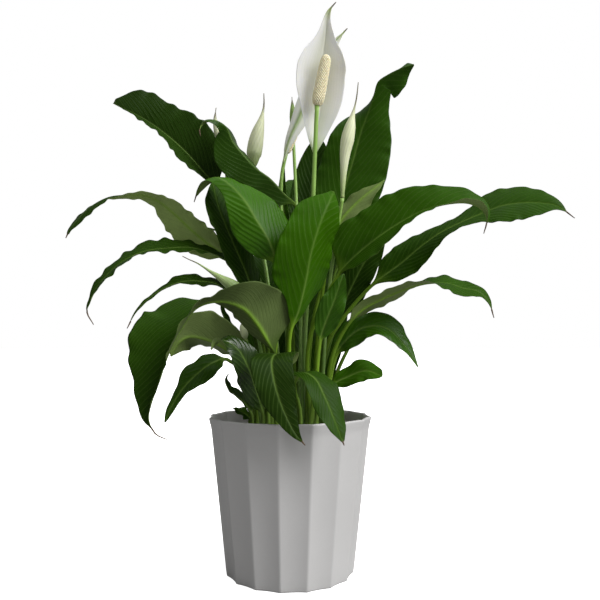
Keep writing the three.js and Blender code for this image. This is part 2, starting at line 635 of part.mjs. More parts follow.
add('flower_main_stem', stalk([12, -4], [
  [16, -6, 245], [21, -12, 317], [24, -16, 379], [26, -18, 431], [28, -20, 477],
], 2.2), stemFinish);
add('flower_main_spathe', spathe([
  [25.5, -15, 428], [28, -10, 449], [32, -7, 484], [32, -8, 511], [34, -12, 529], [37, -16, 552],
  [39, -20, 572], [42, -21, 580], [48, -22, 587],
], {
  heading: 90, half: 27.5, tail: 9, widths: [0.06, 0.32, 0.54, 0.75, 0.9, 0.98, 0.99, 0.8, 0.42, 0.19, 0.05],
}), spatheFinish);
add('flower_main_spadix', spadix([28, -20, 477.4], [38, -24, 529], 6.6), spadixFinish);

add('flower_rear_stem', stalk([-2, 18], [
  [-4, 26, 245], [-9, 37, 321], [-11, 43, 388], [-10, 44, 421], [-5.5, 44, 444.5],
], 2), stemFinish);
add('flower_rear_spathe', spathe([
  [-8.5, 41.2, 434], [-2, 38, 458], [9, 37, 483], [27, 36, 524], [46, 36, 566], [64, 36, 587],
], { heading: 225, half: 14, tail: 6, roll: [30] }), spatheFinish);
add('flower_rear_spadix', spadix([-5.1, 44.2, 445.7], [14, 52, 494], 4.6), spadixFinish);

add('bud_green_stem', stalk([8, 12], [
  [11, 30, 246], [8, 46, 322], [6, 56, 396], [3, 62, 460], [2, 63, 477],
], 1.9), stemFinish);
add('bud_green_spathe', bud([
  [2, 63, 477], [2, 64, 494], [1, 64, 518],
], 1.9, 4, { belly: 0.4 }), greenBudFinish);
add('bud_left_stem', stalk([-10, 4], [
  [-13, 14, 220], [-25, 34, 300], [-38, 48, 380], [-43, 54, 432],
], 1.8), stemFinish);
add('bud_left_spathe', bud([
  [-43, 54, 432], [-42, 54, 451], [-39, 53, 468], [-34, 52, 487], [-31, 51, 503], [-31, 50, 517],
], 1.8, 9.3, { widths: [0.3, 0.72, 0.98, 0.98, 0.9, 0.74, 0.5, 0.26, 0.12, 0.08, 0.05] }), budFinish);
add('bud_far_left_stem', stalk([-16, 14], [
  [-30, 22, 245], [-50, 30, 333], [-68, 32, 401], [-74, 30, 438],
], 1.7), stemFinish);
add('bud_far_left_spathe', bud([
  [-74, 30, 438], [-76, 28, 450], [-81, 24, 466], [-83, 22, 478], [-82, 22, 490],
], 1.7, 5, { belly: 0.35 }), budFinish);
add('bud_right_stem', stalk([31, -10], [
  [36, -12, 235], [42, -11, 300], [50, -16, 355], [54, -20, 380],
], 1.8), stemFinish);
add('bud_right_spathe', bud([
  [54, -20, 380], [55, -20, 403], [57, -20, 428], [60, -20, 445], [65, -20, 467], [69, -20, 485],
  [71, -20, 502],
], 1.8, 7.2, { widths: [0.24, 0.35, 0.45, 0.62, 0.82, 1, 0.85, 0.4, 0.12, 0.09, 0.06] }), budFinish);
add('bud_low_left_stem', stalk([-20, -14], [
  [-23, -20, 180], [-30, -24, 229], [-37, -26, 258], [-44, -28, 278],
], 1.7), stemFinish);
add('bud_low_left_spathe', bud([
  [-44, -28, 278], [-52, -29, 285], [-64, -30, 293], [-78, -31, 302], [-92, -33, 311], [-101, -35, 315],
  [-107, -35, 318],
], 1.7, 6.5, { widths: [0.3, 0.8, 1, 0.86, 0.6, 0.38, 0.22, 0.14, 0.1, 0.08, 0.06] }), budFinish);
add('bud_small_stem', stalk([-27, -24], [
  [-31, -28, 175], [-37, -31, 212], [-43, -32, 234],
], 1.5), stemFinish);
add('bud_small_spathe', bud([
  [-43, -32, 234], [-45, -33, 241], [-47, -34, 248], [-46, -34, 254],
], 1.5, 4, { belly: 0.4 }), budFinish);

// ---- holder ----
add('pot', pot(), potFinish);
add('soil', soil(), soilFinish);

export default plant;
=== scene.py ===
# A potted peace lily in a plain studio: its pot, its soil, 36 leaves, two open flowers and six closed ones.
import math

import bpy
import numpy as np
from mathutils import Matrix, Vector


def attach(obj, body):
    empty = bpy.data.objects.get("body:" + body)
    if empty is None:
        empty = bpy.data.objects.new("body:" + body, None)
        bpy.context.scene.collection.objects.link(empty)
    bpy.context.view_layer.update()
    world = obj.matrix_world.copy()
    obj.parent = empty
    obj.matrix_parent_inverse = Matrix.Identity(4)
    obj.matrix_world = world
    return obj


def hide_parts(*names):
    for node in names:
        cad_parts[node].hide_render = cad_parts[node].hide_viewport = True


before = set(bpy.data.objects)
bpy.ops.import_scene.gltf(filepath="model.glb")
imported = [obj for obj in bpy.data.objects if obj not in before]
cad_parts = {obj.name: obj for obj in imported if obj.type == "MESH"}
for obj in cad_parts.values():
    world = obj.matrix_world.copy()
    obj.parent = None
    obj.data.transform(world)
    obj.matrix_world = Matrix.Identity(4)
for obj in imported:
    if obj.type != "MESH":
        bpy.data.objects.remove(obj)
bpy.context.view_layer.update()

# ---- The pot ----
# One injection-moulded pot of matt light grey plastic, open at the top, with a flat floor. Sixteen shallow
# hollow flutes run up its tapered wall, and the wall flares into a small rounded lip.


class Wire:
    """A node's output. A sign between it and a number or another output adds a Math node."""

    def __init__(self, node, name=0):
        self.node = node
        self.name = name

    def __getitem__(self, name):
        return Wire(self.node, name)

    def __add__(self, other):
        return sums("ADD", self, other)

    def __sub__(self, other):
        return sums("SUBTRACT", self, other)

    def __rsub__(self, other):
        return sums("SUBTRACT", other, self)

    def __mul__(self, other):
        return sums("MULTIPLY", self, other)

    def __truediv__(self, other):
        return sums("DIVIDE", self, other)

    def __rtruediv__(self, other):
        return sums("DIVIDE", other, self)


def give(node, values):
    """Gives a node its inputs: a plain value is set, another node's output is linked."""
    for name, value in values.items():
        if isinstance(value, Wire):
            node.id_data.links.new(value.node.outputs[value.name], node.inputs[name])
        else:
            node.inputs[name].default_value = value


def put(tree, kind, values=None, **settings):
    """Adds a node to a tree."""
    node = tree.nodes.new(kind)
    for name, value in settings.items():
        setattr(node, name, value)
    give(node, values or {})
    return Wire(node)


def sums(operation, *values):
    """The result of one Math node."""
    tree = next(value.node.id_data for value in values if isinstance(value, Wire))
    return put(tree, "ShaderNodeMath", dict(enumerate(values)), operation=operation)


def blend(share, first, second):
    """A colour between two colours."""
    return put(share.node.id_data, "ShaderNodeMix", {0: share, 6: first, 7: second}, data_type="RGBA")[2]


def step(value, low, high, start=0.0, end=1.0):
    """A value that eases from start to end as another passes from low to high."""
    values = {0: value, 1: low, 2: high, 3: start, 4: end}
    return put(value.node.id_data, "ShaderNodeMapRange", values, interpolation_type="SMOOTHSTEP")


def noise(place, scale, detail):
    values = {"Vector": place, "Scale": scale, "Detail": detail}
    return put(place.node.id_data, "ShaderNodeTexNoise", values)


def parts(tree, kind="GeometryNodeInputPosition"):
    """The x, y and z of each point's place, or of another of its directions."""
    return put(tree, "ShaderNodeSeparateXYZ", {0: put(tree, kind)})


def vector(x, y, z):
    return put(x.node.id_data, "ShaderNodeCombineXYZ", {0: x, 1: y, 2: z})


def group_of(name, kind, inputs, outputs):
    """A new node group and its input node, with the kinds of its named sockets."""
    tree = bpy.data.node_groups.new(name, kind)
    for side, sockets in (("INPUT", inputs), ("OUTPUT", outputs)):
        for socket, sort in sockets.items():
            tree.interface.new_socket(socket, in_out=side, socket_type="NodeSocket" + sort)
    return tree, put(tree, "NodeGroupInput")


def sized_group(name, **sizes):
    """A geometry group with named inputs for its sizes, and for the material that it ends in."""
    sizes = {size.replace("_", " "): sort for size, sort in sizes.items()}
    inputs = {"Geometry": "Geometry", **sizes, "Finish": "Material"}
    return group_of(name, "GeometryNodeTree", inputs, {"Geometry": "Geometry"})


def hand_over(tree, geometry, finish):
    """Ends a geometry group: real geometry, in its material."""
    whole = put(tree, "GeometryNodeRealizeInstances", {0: geometry})
    dressed = put(tree, "GeometryNodeSetMaterial", {"Geometry": whole, "Material": finish})
    put(tree, "NodeGroupOutput", {0: dressed})


def run_nodes(piece, tree, **values):
    """Runs a geometry tree on a piece and keeps the result as its plain mesh."""
    modifier = piece.modifiers.new(tree.name, "NODES")
    modifier.node_group = tree
    for socket in tree.interface.items_tree:
        if socket.in_out == "INPUT" and socket.name.replace(" ", "_") in values:
            modifier[socket.identifier] = values[socket.name.replace(" ", "_")]
    graph = bpy.context.evaluated_depsgraph_get()
    grown = piece.evaluated_get(graph)
    result = bpy.data.meshes.new_from_object(grown, preserve_all_data_layers=True, depsgraph=graph)
    piece.modifiers.remove(modifier)
    old, piece.data = piece.data, result
    result.name = piece.name
    bpy.data.meshes.remove(old)


def mesh_of(name, points, faces, numbers=None):
    """A smooth mesh object, its points in metres, with named numbers on its points."""
    mesh = bpy.data.meshes.new(name)
    mesh.from_pydata([tuple(p) for p in points], [], faces)
    for key, values in (numbers or {}).items():
        column = np.asarray(values, np.float32).ravel()
        mesh.attributes.new(key, "FLOAT", "POINT").data.foreach_set("value", column)
    mesh.shade_smooth()
    mesh.update()
    piece = bpy.data.objects.new(name, mesh)
    bpy.context.scene.collection.objects.link(piece)
    return piece


def settle(piece, slot, *nodes):
    """The piece stands still with the plant and takes the place of its CAD nodes."""
    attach(piece, "root")
    if nodes:
        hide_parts(*nodes)


# Soft uneven colour, as moulding, growth and handling leave it: clouds of two sizes over the piece.
mottle, given = group_of("Mottling", "ShaderNodeTree",
                         {"Colour": "Color", "Clouds per metre": "Float", "Strength": "Float"},
                         {"Colour": "Color", "Clouds": "Float", "Grain": "Float"})
place = put(mottle, "ShaderNodeTexCoord")["Object"]
coarse, strength = given["Clouds per metre"], given["Strength"]
clouds = noise(place, coarse, 4.0)
grain = noise(place, coarse * 14.0, 2.0)
swing = (grain - 0.5) * (strength * 0.4) + ((clouds - 0.5) * strength + 1.0)
varied = put(mottle, "ShaderNodeVectorMath", {0: given["Colour"], "Scale": swing}, operation="SCALE")
put(mottle, "NodeGroupOutput", {"Colour": varied, "Clouds": clouds, "Grain": grain})


def finish_of(name):
    """A new material and its node tree."""
    material = bpy.data.materials.new(name)
    material.use_nodes = True
    return material, material.node_tree


def dress(tree, colour, clouds_per_metre, strength, roughness, by="Clouds", duller=0.0, **more):
    """Gives a material a mottled colour, a roughness between two limits and its shader's plain values."""
    values = {"Colour": colour, "Clouds per metre": clouds_per_metre, "Strength": strength}
    look = put(tree, "ShaderNodeGroup", values, node_tree=mottle)
    rough = step(look[by], 0.3, 0.7, *roughness) + duller
    plain = {socket.replace("_", " "): value for socket, value in more.items()}
    give(tree.nodes["Principled BSDF"], {"Base Color": look["Colour"], "Roughness": rough, **plain})
    return look


def relief(tree, height, distance, strength=1.0, **under):
    """Gives a material a fine relief, distance metres high, over another one where there is one."""
    values = {"Height": height, "Distance": distance, "Strength": strength, **under}
    bump = put(tree, "ShaderNodeBump", values)
    give(tree.nodes["Principled BSDF"], {"Normal": bump})
    return bump


pot_plastic, tree = finish_of("pot_plastic")
dress(tree, (0.455, 0.449, 0.444, 1), 22.0, 0.09, (0.5, 0.62))
relief(tree, noise(put(tree, "ShaderNodeTexCoord")["Object"], 1800.0, 1.0), 0.00004, 0.6)

fluting, given = sized_group("Fluting", Flutes="Int", Hollow="Float", Turn="Float", Plain_within="Float")
at = parts(fluting)
reach = sums("SQRT", at["X"] * at["X"] + at["Y"] * at["Y"])
pitch = 2 * math.pi / given["Flutes"]
angle = sums("ARCTAN2", at["X"], at["Y"] * -1.0) - given["Turn"]
off = sums("FRACT", angle / pitch) * 2.0 - 1.0
flat = reach * sums("COSINE", pitch * 0.5) / sums("COSINE", off * (pitch * 0.5))
wanted = flat - given["Hollow"] * (1.0 - off * off)
share = wanted / sums("MAXIMUM", reach, 1e-6)
moved = vector(at["X"] * share, at["Y"] * share, at["Z"])
outer = put(fluting, "FunctionNodeCompare", {0: reach, 1: given["Plain within"]}, operation="GREATER_THAN")
wall = {"Geometry": given["Geometry"], "Position": moved, "Selection": outer}
hand_over(fluting, put(fluting, "GeometryNodeSetPosition", wall), given["Finish"])

POT_HEIGHT, LIP_HEIGHT, FOOT_RADIUS, SHOULDER_RADIUS, RIM_RADIUS = 0.157, 0.014, 0.0648, 0.081, 0.084
WALL, FLOOR, FOOT_ROUND, FLARE, FLARE_HOLLOW, FLARE_HEIGHT = 0.0026, 0.005, 0.0018, 0.0017, 0.0009, 0.008
FLUTES, HOLLOW, FLUTE_TURN, SIDES_OF_A_FLUTE, PLAIN_WITHIN = 16, 0.0012, math.radians(-7), 18, 0.035
# The rounded lip's points: how far in from the rim, and how far down.
LIP_ROUND = [(0.0008, 0.0038), (0.0003, 0.002), (0.0002, 0.0013), (0.0004, 0.0006), (0.0008, 0.0002),
             (0.0014, 0), (0.0021, 0.0001), (0.0027, 0.0005), (0.0033, 0.0016), (0.0038, 0.0055)]


def ridge_radius(height):
    return FOOT_RADIUS + (SHOULDER_RADIUS - FOOT_RADIUS) * height / (POT_HEIGHT - LIP_HEIGHT)


def turned(name, profile, sides, first=0.0):
    """A closed turned body; the profile runs from the axis underneath to the axis on top."""
    rings = len(profile) - 2
    points = [(0, 0, profile[0][1])]
    for r, z in profile[1:-1]:
        for i in range(sides):
            angle = first + 2 * math.pi * i / sides
            points.append((r * math.sin(angle), -r * math.cos(angle), z))
    points.append((0, 0, profile[-1][1]))
    faces = []
    for i in range(sides):
        j = (i + 1) % sides
        faces.append((0, 1 + j, 1 + i))
        for ring in range(rings - 1):
            a = 1 + ring * sides
            faces.append((a + i, a + j, a + sides + j, a + sides + i))
        a = 1 + (rings - 1) * sides
        faces.append((a + i, a + j, len(points) - 1))
    return mesh_of(name, points, faces)


lip = POT_HEIGHT - LIP_HEIGHT
profile = [(r, 0) for r in (0, 0.02, 0.04, 0.055)]
profile += [(FOOT_RADIUS - FOOT_ROUND * (1 - math.sin(a)), FOOT_ROUND * (1 - math.cos(a)))
            for a in np.linspace(0, math.pi / 2, 5)]
profile += [(ridge_radius(z), z) for z in np.linspace(0.006, lip - 0.001, 18)]
profile += [(SHOULDER_RADIUS + FLARE * s - FLARE_HOLLOW * (1 - s) * s, lip + FLARE_HEIGHT * s)
            for s in np.linspace(0, 1, 7)]
profile += [(RIM_RADIUS - inwards, POT_HEIGHT - down) for inwards, down in LIP_ROUND]
profile += [(ridge_radius(z) - WALL, z) for z in (lip, *np.linspace(lip - 0.006, FLOOR + 0.004, 14))]
inside = ridge_radius(FLOOR) - WALL
profile += [(inside - 0.0003, FLOOR + 0.0012), (inside - 0.0015, FLOOR), (0.04, FLOOR), (0, FLOOR)]
pot = turned("fluted_pot", profile, FLUTES * SIDES_OF_A_FLUTE, FLUTE_TURN)
run_nodes(pot, fluting, Flutes=FLUTES, Hollow=HOLLOW, Turn=FLUTE_TURN, Plain_within=PLAIN_WITHIN,
          Finish=pot_plastic)
settle(pot, "pot", "pot")

# ---- The soil ----
# Dark peat-based potting mix, pressed in round the stems to about 25 mm under the rim. The body is the CAD's
# own, with the holes that the stems stand in. Crumbs of bark and a few grains of perlite lie loose on top.
potting_mix, tree = finish_of("potting_mix")
look = dress(tree, (0.030, 0.019, 0.012, 1), 160.0, 1.4, (0.8, 1.0), Specular_IOR_Level=0.25)
place = put(tree, "ShaderNodeTexCoord")["Object"]
crumb = put(tree, "ShaderNodeTexVoronoi", {"Vector": place, "Scale": 420.0})["Distance"]
relief(tree, crumb + look["Grain"], 0.0016)
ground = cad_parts["soil"]
ground.data.materials.clear()
ground.data.materials.append(potting_mix)

crumbs, given = sized_group("Loose crumbs", Lowest="Float", Crumbs_per_m2="Float", Size="Float", Seed="Int")
facing = parts(crumbs, "GeometryNodeInputNormal")["Z"]
on_top = sums("GREATER_THAN", parts(crumbs)["Z"], given["Lowest"]) * sums("GREATER_THAN", facing, 0.7)
spread_on = {"Mesh": given["Geometry"], "Selection": on_top}
spread_on.update({"Density": given["Crumbs per m2"], "Seed": given["Seed"]})
spots = put(crumbs, "GeometryNodeDistributePointsOnFaces", spread_on)
lump = put(crumbs, "GeometryNodeMeshIcoSphere", {"Radius": 0.5, "Subdivisions": 1})
limits = {0: (0, 0, 0), 1: (6.28, 6.28, 6.28), "Seed": given["Seed"]}
turns = put(crumbs, "FunctionNodeRandomValue", limits, data_type="FLOAT_VECTOR")
limits = {0: (0.35, 0.3, 0.18), 1: (1.5, 0.9, 0.6), "Seed": given["Seed"] + 1.0}
sizes = put(crumbs, "FunctionNodeRandomValue", limits, data_type="FLOAT_VECTOR")
sizes = put(crumbs, "ShaderNodeVectorMath", {0: sizes, "Scale": given["Size"]}, operation="SCALE")
lumps = {"Points": spots, "Instance": lump, "Rotation": turns, "Scale": sizes}
hand_over(crumbs, put(crumbs, "GeometryNodeInstanceOnPoints", lumps), given["Finish"])

LOWEST_CRUMB = 0.1285
for name, colour, coarse, strength, roughness, density, size, seed in (
        ("bark_crumbs", (0.062, 0.034, 0.018, 1), 260.0, 1.6, (0.75, 0.95), 1.5e5, 0.0036, 3),
        ("perlite_grains", (0.62, 0.59, 0.52, 1), 500.0, 0.5, (0.8, 1.0), 9e3, 0.0028, 8)):
    finish, tree = finish_of(name)
    dress(tree, colour, coarse, strength, roughness, by="Grain", Specular_IOR_Level=0.3)
    loose = bpy.data.objects.new(name, ground.data.copy())
    bpy.context.scene.collection.objects.link(loose)
    loose.data.materials.clear()
    run_nodes(loose, crumbs, Lowest=LOWEST_CRUMB, Crumbs_per_m2=density, Size=size, Seed=seed, Finish=finish)
    settle(loose, "soil")

# ---- The leaves ----
# Each leaf is one natural piece: a green petiole that stands in the soil and runs on as the midrib of a thin
# blade, pleated along its side veins, wavy at its margin, dark above and paler below. The sizes from here on,
# and the rows of points, are in mm.
SOIL_TOP, FOOT_DEPTH, PETIOLE_RADIUS, SHEATH_RADIUS = 132, 14, 2.3, 2.9
BLADE_THICKNESS, GROOVE_DEPTH, GROOVE_REACH, KEEL_DEPTH, KEEL_REACH = 0.5, 0.28, 0.9, 1.3, 1.3
NARROWEST, RING_STEP, FEWEST_RINGS, MOST_RINGS, STALK_STEP, THREAD_RINGS = 0.9, 1.6, 30, 125, 9, 5
# As shares: the petiole's thickness at its top, the stretch it opens over and the thinning of the margin.
NECK, OPENING, EDGE_THINNING = 0.8, 0.12, 0.45
# Slow waves along a blade, the wavelengths of its frilled margin, and how its side veins slant and bend.
SLOW_WAVES, FRILL_LENGTHS, VEIN_SLANT, VEIN_BEND = 2.2, (17, 23), 1.5, 0.9
HALF_COLUMNS = [0.035, 0.07, 0.115, 0.18, 0.26, 0.34, 0.42, 0.5, 0.58, 0.66, 0.74, 0.82, 0.89, 0.95, 1.0]
COLUMNS = np.array([-q for q in reversed(HALF_COLUMNS)] + [0.0] + HALF_COLUMNS)
AROUND = 2 * len(COLUMNS)
UNDER = [0.0] * len(COLUMNS) + [1.0] * len(COLUMNS)
# The share of the way from the midrib to the edge, and the side.
q, side = np.abs(COLUMNS)[None], np.sign(COLUMNS)[None]


def grown_line(points):
    """A smooth line through given points: place and direction at a length, and the points' lengths."""
    p = np.array(points, float)
    p = np.vstack([2 * p[0] - p[1], p, 2 * p[-1] - p[-2]])
    run = []
    for a, b, c, d in zip(p, p[1:], p[2:], p[3:]):
        before, here, after = (math.sqrt(np.linalg.norm(v)) for v in (b - a, c - b, d - c))
        m = ((b - a) / before - (c - a) / (before + here) + (c - b) / here) * here
        n = ((c - b) / here - (d - b) / (here + after) + (d - c) / after) * here
        s = np.linspace(0, 1, 40, endpoint=False)[:, None]
        run.append(b + m * s + (3 * c - 3 * b - 2 * m - n) * s ** 2 + (2 * b - 2 * c + m + n) * s ** 3)
    run = np.vstack(run + [p[-2:-1]])
    reached = np.concatenate([[0], np.cumsum(np.linalg.norm(np.diff(run, axis=0), axis=1))])

    def at(length):
        return np.stack([np.interp(length, reached, run[:, k]) for k in range(3)], axis=-1)

    def along(length):
        chord = at(np.asarray(length) + 1.5) - at(np.asarray(length) - 1.5)
        return chord / np.linalg.norm(chord, axis=-1, keepdims=True)

    return at, along, reached[::40]


def eased(values, share):
    """A short list spread evenly over the shares from 0 to 1, with its corners smoothed."""
    spots = np.linspace(0, 1, len(values))
    near = [np.interp(np.clip(share + k * 0.03, 0, 1), spots, values) for k in (-2, -1, 0, 1, 2)]
    return np.mean(near, axis=0)


def smooth_list(values, share):
    """A short list spread evenly over the shares from 0 to 1, read along a curve that never overshoots."""
    v = np.array(values, float)
    slope = np.diff(v)
    before, after = slope[:-1], slope[1:]
    both = np.where(before + after == 0, 1, before + after)
    lean = np.concatenate([slope[:1], np.where(before * after > 0, 2 * before * after / both, 0), slope[-1:]])
    spot = np.clip(share, 0, 1) * (len(v) - 1)
    i = np.minimum(spot.astype(int), len(v) - 2)
    t = spot - i
    return (v[i] * (1 + 2 * t) * (1 - t) ** 2 + v[i + 1] * t * t * (3 - 2 * t)
            + lean[i] * t * (1 - t) ** 2 - lean[i + 1] * t * t * (1 - t))


def outline(share, belly, fullness, widths=None):
    """Half a blade's width along its length, 1 at its widest: from a list spread over it, or by a rule."""
    if widths:
        return smooth_list(widths, share)
    s = np.clip(share, 1e-9, 1 - 1e-9)
    return ((s / belly) ** belly * ((1 - s) / (1 - belly)) ** (1 - belly)) ** fullness


def across(direction, heading, roll):
    """Directions across a line: to the left edge, and out of the upper face."""
    turn, roll = math.radians(heading), np.radians(roll)[:, None]
    level = np.array([-math.sin(turn), math.cos(turn), 0.0])
    left = level - direction * (direction @ level)[:, None]
    left /= np.linalg.norm(left, axis=1, keepdims=True)
    left = left * np.cos(roll) + np.cross(direction, left) * np.sin(roll)
    return left, np.cross(direction, left)


def round_rings(centre, left, up, radius, count):
    angle = math.pi * (1 - (2 * np.arange(count) + 1) / count)
    out = left[:, None] * np.cos(angle)[None, :, None] + up[:, None] * np.sin(angle)[None, :, None]
    return centre[:, None] + out * np.broadcast_to(radius, len(centre))[:, None, None]


def tube(at, along, length, radius, count, heading=0, roll=0):
    """Round rings along a grown line."""
    left, up = across(along(length), heading, np.full(len(length), float(roll)))
    return round_rings(at(length), left, up, radius, count)


def foot_rings(foot, radius, count, heading=0, roll=0):
    """The foot of a stem, upright in its hole in the soil."""
    ends = np.array([(*foot, SOIL_TOP - FOOT_DEPTH), (*foot, SOIL_TOP + 2)], float)
    left, up = across(np.array([[0.0, 0.0, 1.0]] * 2), heading, np.full(2, float(roll)))
    return round_rings(ends, left, up, radius, count)


def blade_rings(centre, left, up, half, fold, curl, ripple, thickness, rib, lean=0):
    """Rings of a blade: over the upper face from right to left, and back along the lower one."""
    reach = half[:, None] * (1 + lean * side)
    start = fold[:, None] * np.minimum(q / 0.07, 1) ** 0.5
    bend = curl if abs(curl) > 1e-3 else 1e-3
    end = start + bend * q
    out = side * reach * (np.sin(end) - np.sin(start)) / bend
    rise = reach * (np.cos(start) - np.cos(end)) / bend + ripple
    middle = centre[:, None] + left[:, None] * out[..., None] + up[:, None] * rise[..., None]
    upright = np.where(side == 0, 1, np.cos(end))
    normal = left[:, None] * (-side * np.sin(end))[..., None] + up[:, None] * upright[..., None]
    thin = thickness / 2 * (1 - EDGE_THINNING * q ** 6)
    groove = GROOVE_DEPTH * np.exp(-(q * reach / GROOVE_REACH) ** 2) * (rib[:, None] > 0.05)
    keel = rib[:, None] * np.exp(-(q * reach / KEEL_REACH) ** 2)
    upper = middle + normal * (thin - groove)[..., None]
    lower = middle - normal * (thin + keel)[..., None]
    return np.concatenate([upper, lower[:, ::-1]], axis=1)


def spreader(rows, before, after):
    """Spreads a blade's numbers over both its faces; the rings before and after it have their own."""
    def spread(values, stem=0.0, tip=0.0):
        values = np.broadcast_to(values, (rows, len(COLUMNS)))
        both = np.concatenate([values, values[:, ::-1]], axis=1)
        return np.vstack([np.full((before, AROUND), stem), both, np.full((after, AROUND), tip)])

    return spread


def loft(name, rings, numbers):
    """Joins rings into one closed skin, in metres; numbers holds named values for each point of each ring."""
    rows, count = rings.shape[:2]
    r, i = np.meshgrid(np.arange(rows - 1), np.arange(count), indexing="ij")
    a, b = r * count + i, r * count + (i + 1) % count
    quads = np.stack([a, a + count, b + count, b], axis=-1).reshape(-1, 4)
    ends = []
    for k in range(count // 2 - 1):
        cap = [k, k + 1, count - 2 - k, count - 1 - k]
        ends += [cap, [(rows - 1) * count + c for c in reversed(cap)]]
    return mesh_of(name, rings.reshape(-1, 3) * 0.001, quads.tolist() + ends, numbers)


def leaf(name, foot, spine, half, heading, start=3, lean=(0,), roll=(0,), fold=(14,), curl=-20, wave=2.0,
         belly=0.42, fullness=1.7, widths=None, tail=0, tone=0.3, pleat=0.08, frill=0.8, spacing=10.0,
         gloss=0.0, pale=0.4):
    """One leaf. foot: where it enters the soil. spine: its run above. start: which point its blade starts at.
    half: half its width. lean: how much wider its left half is. tone: how light its green is, 0 dark, 1
    bright; partly its age, partly painted light and shade, set leaf by leaf."""
    luck = np.random.default_rng(sum(map(ord, name)))
    at, along, reached = grown_line([(*foot, SOIL_TOP + 1), *spine])
    begin, total = reached[start], reached[-1]
    end = total - tail
    stalk_at = np.linspace(0, begin, max(6, int(begin / STALK_STEP)), endpoint=False)[1:]
    girth = np.interp(stalk_at / begin, [0, 0.35, 1], [SHEATH_RADIUS / PETIOLE_RADIUS, 1.02, NECK])
    rings = [foot_rings(foot, SHEATH_RADIUS, AROUND, heading, roll[0]),
             tube(at, along, stalk_at, PETIOLE_RADIUS * girth, AROUND, heading, roll[0])]

    # The blade: its outline, the slow waves of its halves and the fast ones of its margin.
    share = np.linspace(0, 1, int(np.clip((end - begin) / RING_STEP, FEWEST_RINGS, MOST_RINGS)))
    length = begin + (end - begin) * share
    left, up = across(along(length), heading, eased(roll, share))
    width = outline(share, belly, fullness, widths)
    uneven = 1 + 0.025 * np.sin(share * 19 + luck.uniform(0, 6)) * np.sin(share * 7.3 + luck.uniform(0, 6))
    wide = np.maximum(half * width * uneven, NARROWEST)
    travel = length[:, None] - begin
    slow = np.sin(SLOW_WAVES * 2 * math.pi * share[:, None] + np.where(side < 0, 1.3, 0))
    slow = wave * width[:, None] * q ** 2 * slow
    beat = travel / luck.uniform(*FRILL_LENGTHS) * 2 * math.pi
    beat = beat + np.where(side < 0, luck.uniform(0, 6), luck.uniform(0, 6))
    fast = frill * width[:, None] * q ** 5 * (np.sin(beat) + 0.5 * np.sin(beat * 1.63 + 1))
    lean = eased(lean, share)[:, None]
    fold = np.radians(eased(fold, share))
    keel = KEEL_DEPTH * (1 - share) ** 0.8
    blade = blade_rings(at(length), left, up, wide, fold, math.radians(curl), slow + fast, BLADE_THICKNESS,
                        keel, lean)
    stalk = round_rings(at(length), left, up, PETIOLE_RADIUS * NECK, AROUND)
    opened = np.clip(share / OPENING, 0, 1)
    opened = (opened ** 2 * (3 - 2 * opened))[:, None, None]
    rings.append(stalk * (1 - opened) + blade * opened)
    if tail:
        beyond = np.linspace(end, total, THREAD_RINGS + 1)[1:]
        rings.append(tube(at, along, beyond, np.linspace(0.8, 0.4, THREAD_RINGS), AROUND, heading, roll[-1]))
    rings = np.vstack(rings)

    # What the finish needs to know of each point: how near the veins, the midrib, the tip and so on it is.
    ahead = q * wide[:, None] * (1 + lean * side)
    vein = (travel - VEIN_SLANT * ahead - VEIN_BEND * ahead ** 2 / half) / spacing
    vein = vein + np.where(side < 0, 0.5, 0.0)
    grown = np.clip(width[:, None] * 1.4, 0, 1) * np.clip(q / 0.22, 0, 1) * (1 - 0.75 * q ** 4)
    share = share[:, None]
    spread = spreader(len(share), 2 + len(stalk_at), THREAD_RINGS if tail else 0)
    piece = loft("grown_leaf_" + name, rings, {
        "under": np.tile(UNDER, (len(rings), 1)),
        "vein": spread(vein), "pleat": spread(pleat * grown), "height": rings[:, :, 2] * 0.001,
        "stalk": spread(1 - opened[:, :, 0], 1), "tip": spread(share, 0, 1.05),
        "rib": spread(np.exp(-(ahead / 1.05) ** 2) * (1 - 0.8 * share), 1),
        "keel": spread(np.exp(-(ahead / 2.3) ** 2) * (1 - 0.7 * share), 1),
        "gloss": spread(gloss), "pale": spread(pale),
        "tone": spread(tone + 0.06 * np.sin(share * 5 + luck.uniform(0, 6)), tone, tone)})
    piece.data.materials.append(flesh_with(gloss))
    settle(piece, "leaf", "leaf_" + name)


# Side veins: a fine pale line where two pleats meet, and the finer veins that run between them.
veining, given = group_of("Side veins", "ShaderNodeTree", {"Vein": "Float", "Width": "Float"},
                          {"Line": "Float", "Fine lines": "Float"})
off_line = sums("ABSOLUTE", sums("FRACT", given["Vein"] + 0.5) - 0.5)
off_fine = sums("ABSOLUTE", sums("FRACT", given["Vein"] * 6.0) - 0.5)
line = step(off_line, 0.0, given["Width"], 1.0, 0.0)
put(veining, "NodeGroupOutput", {0: line, 1: step(off_fine, 0.1, 0.45)})


def number(tree, name):
    return put(tree, "ShaderNodeAttribute", attribute_name=name)["Fac"]


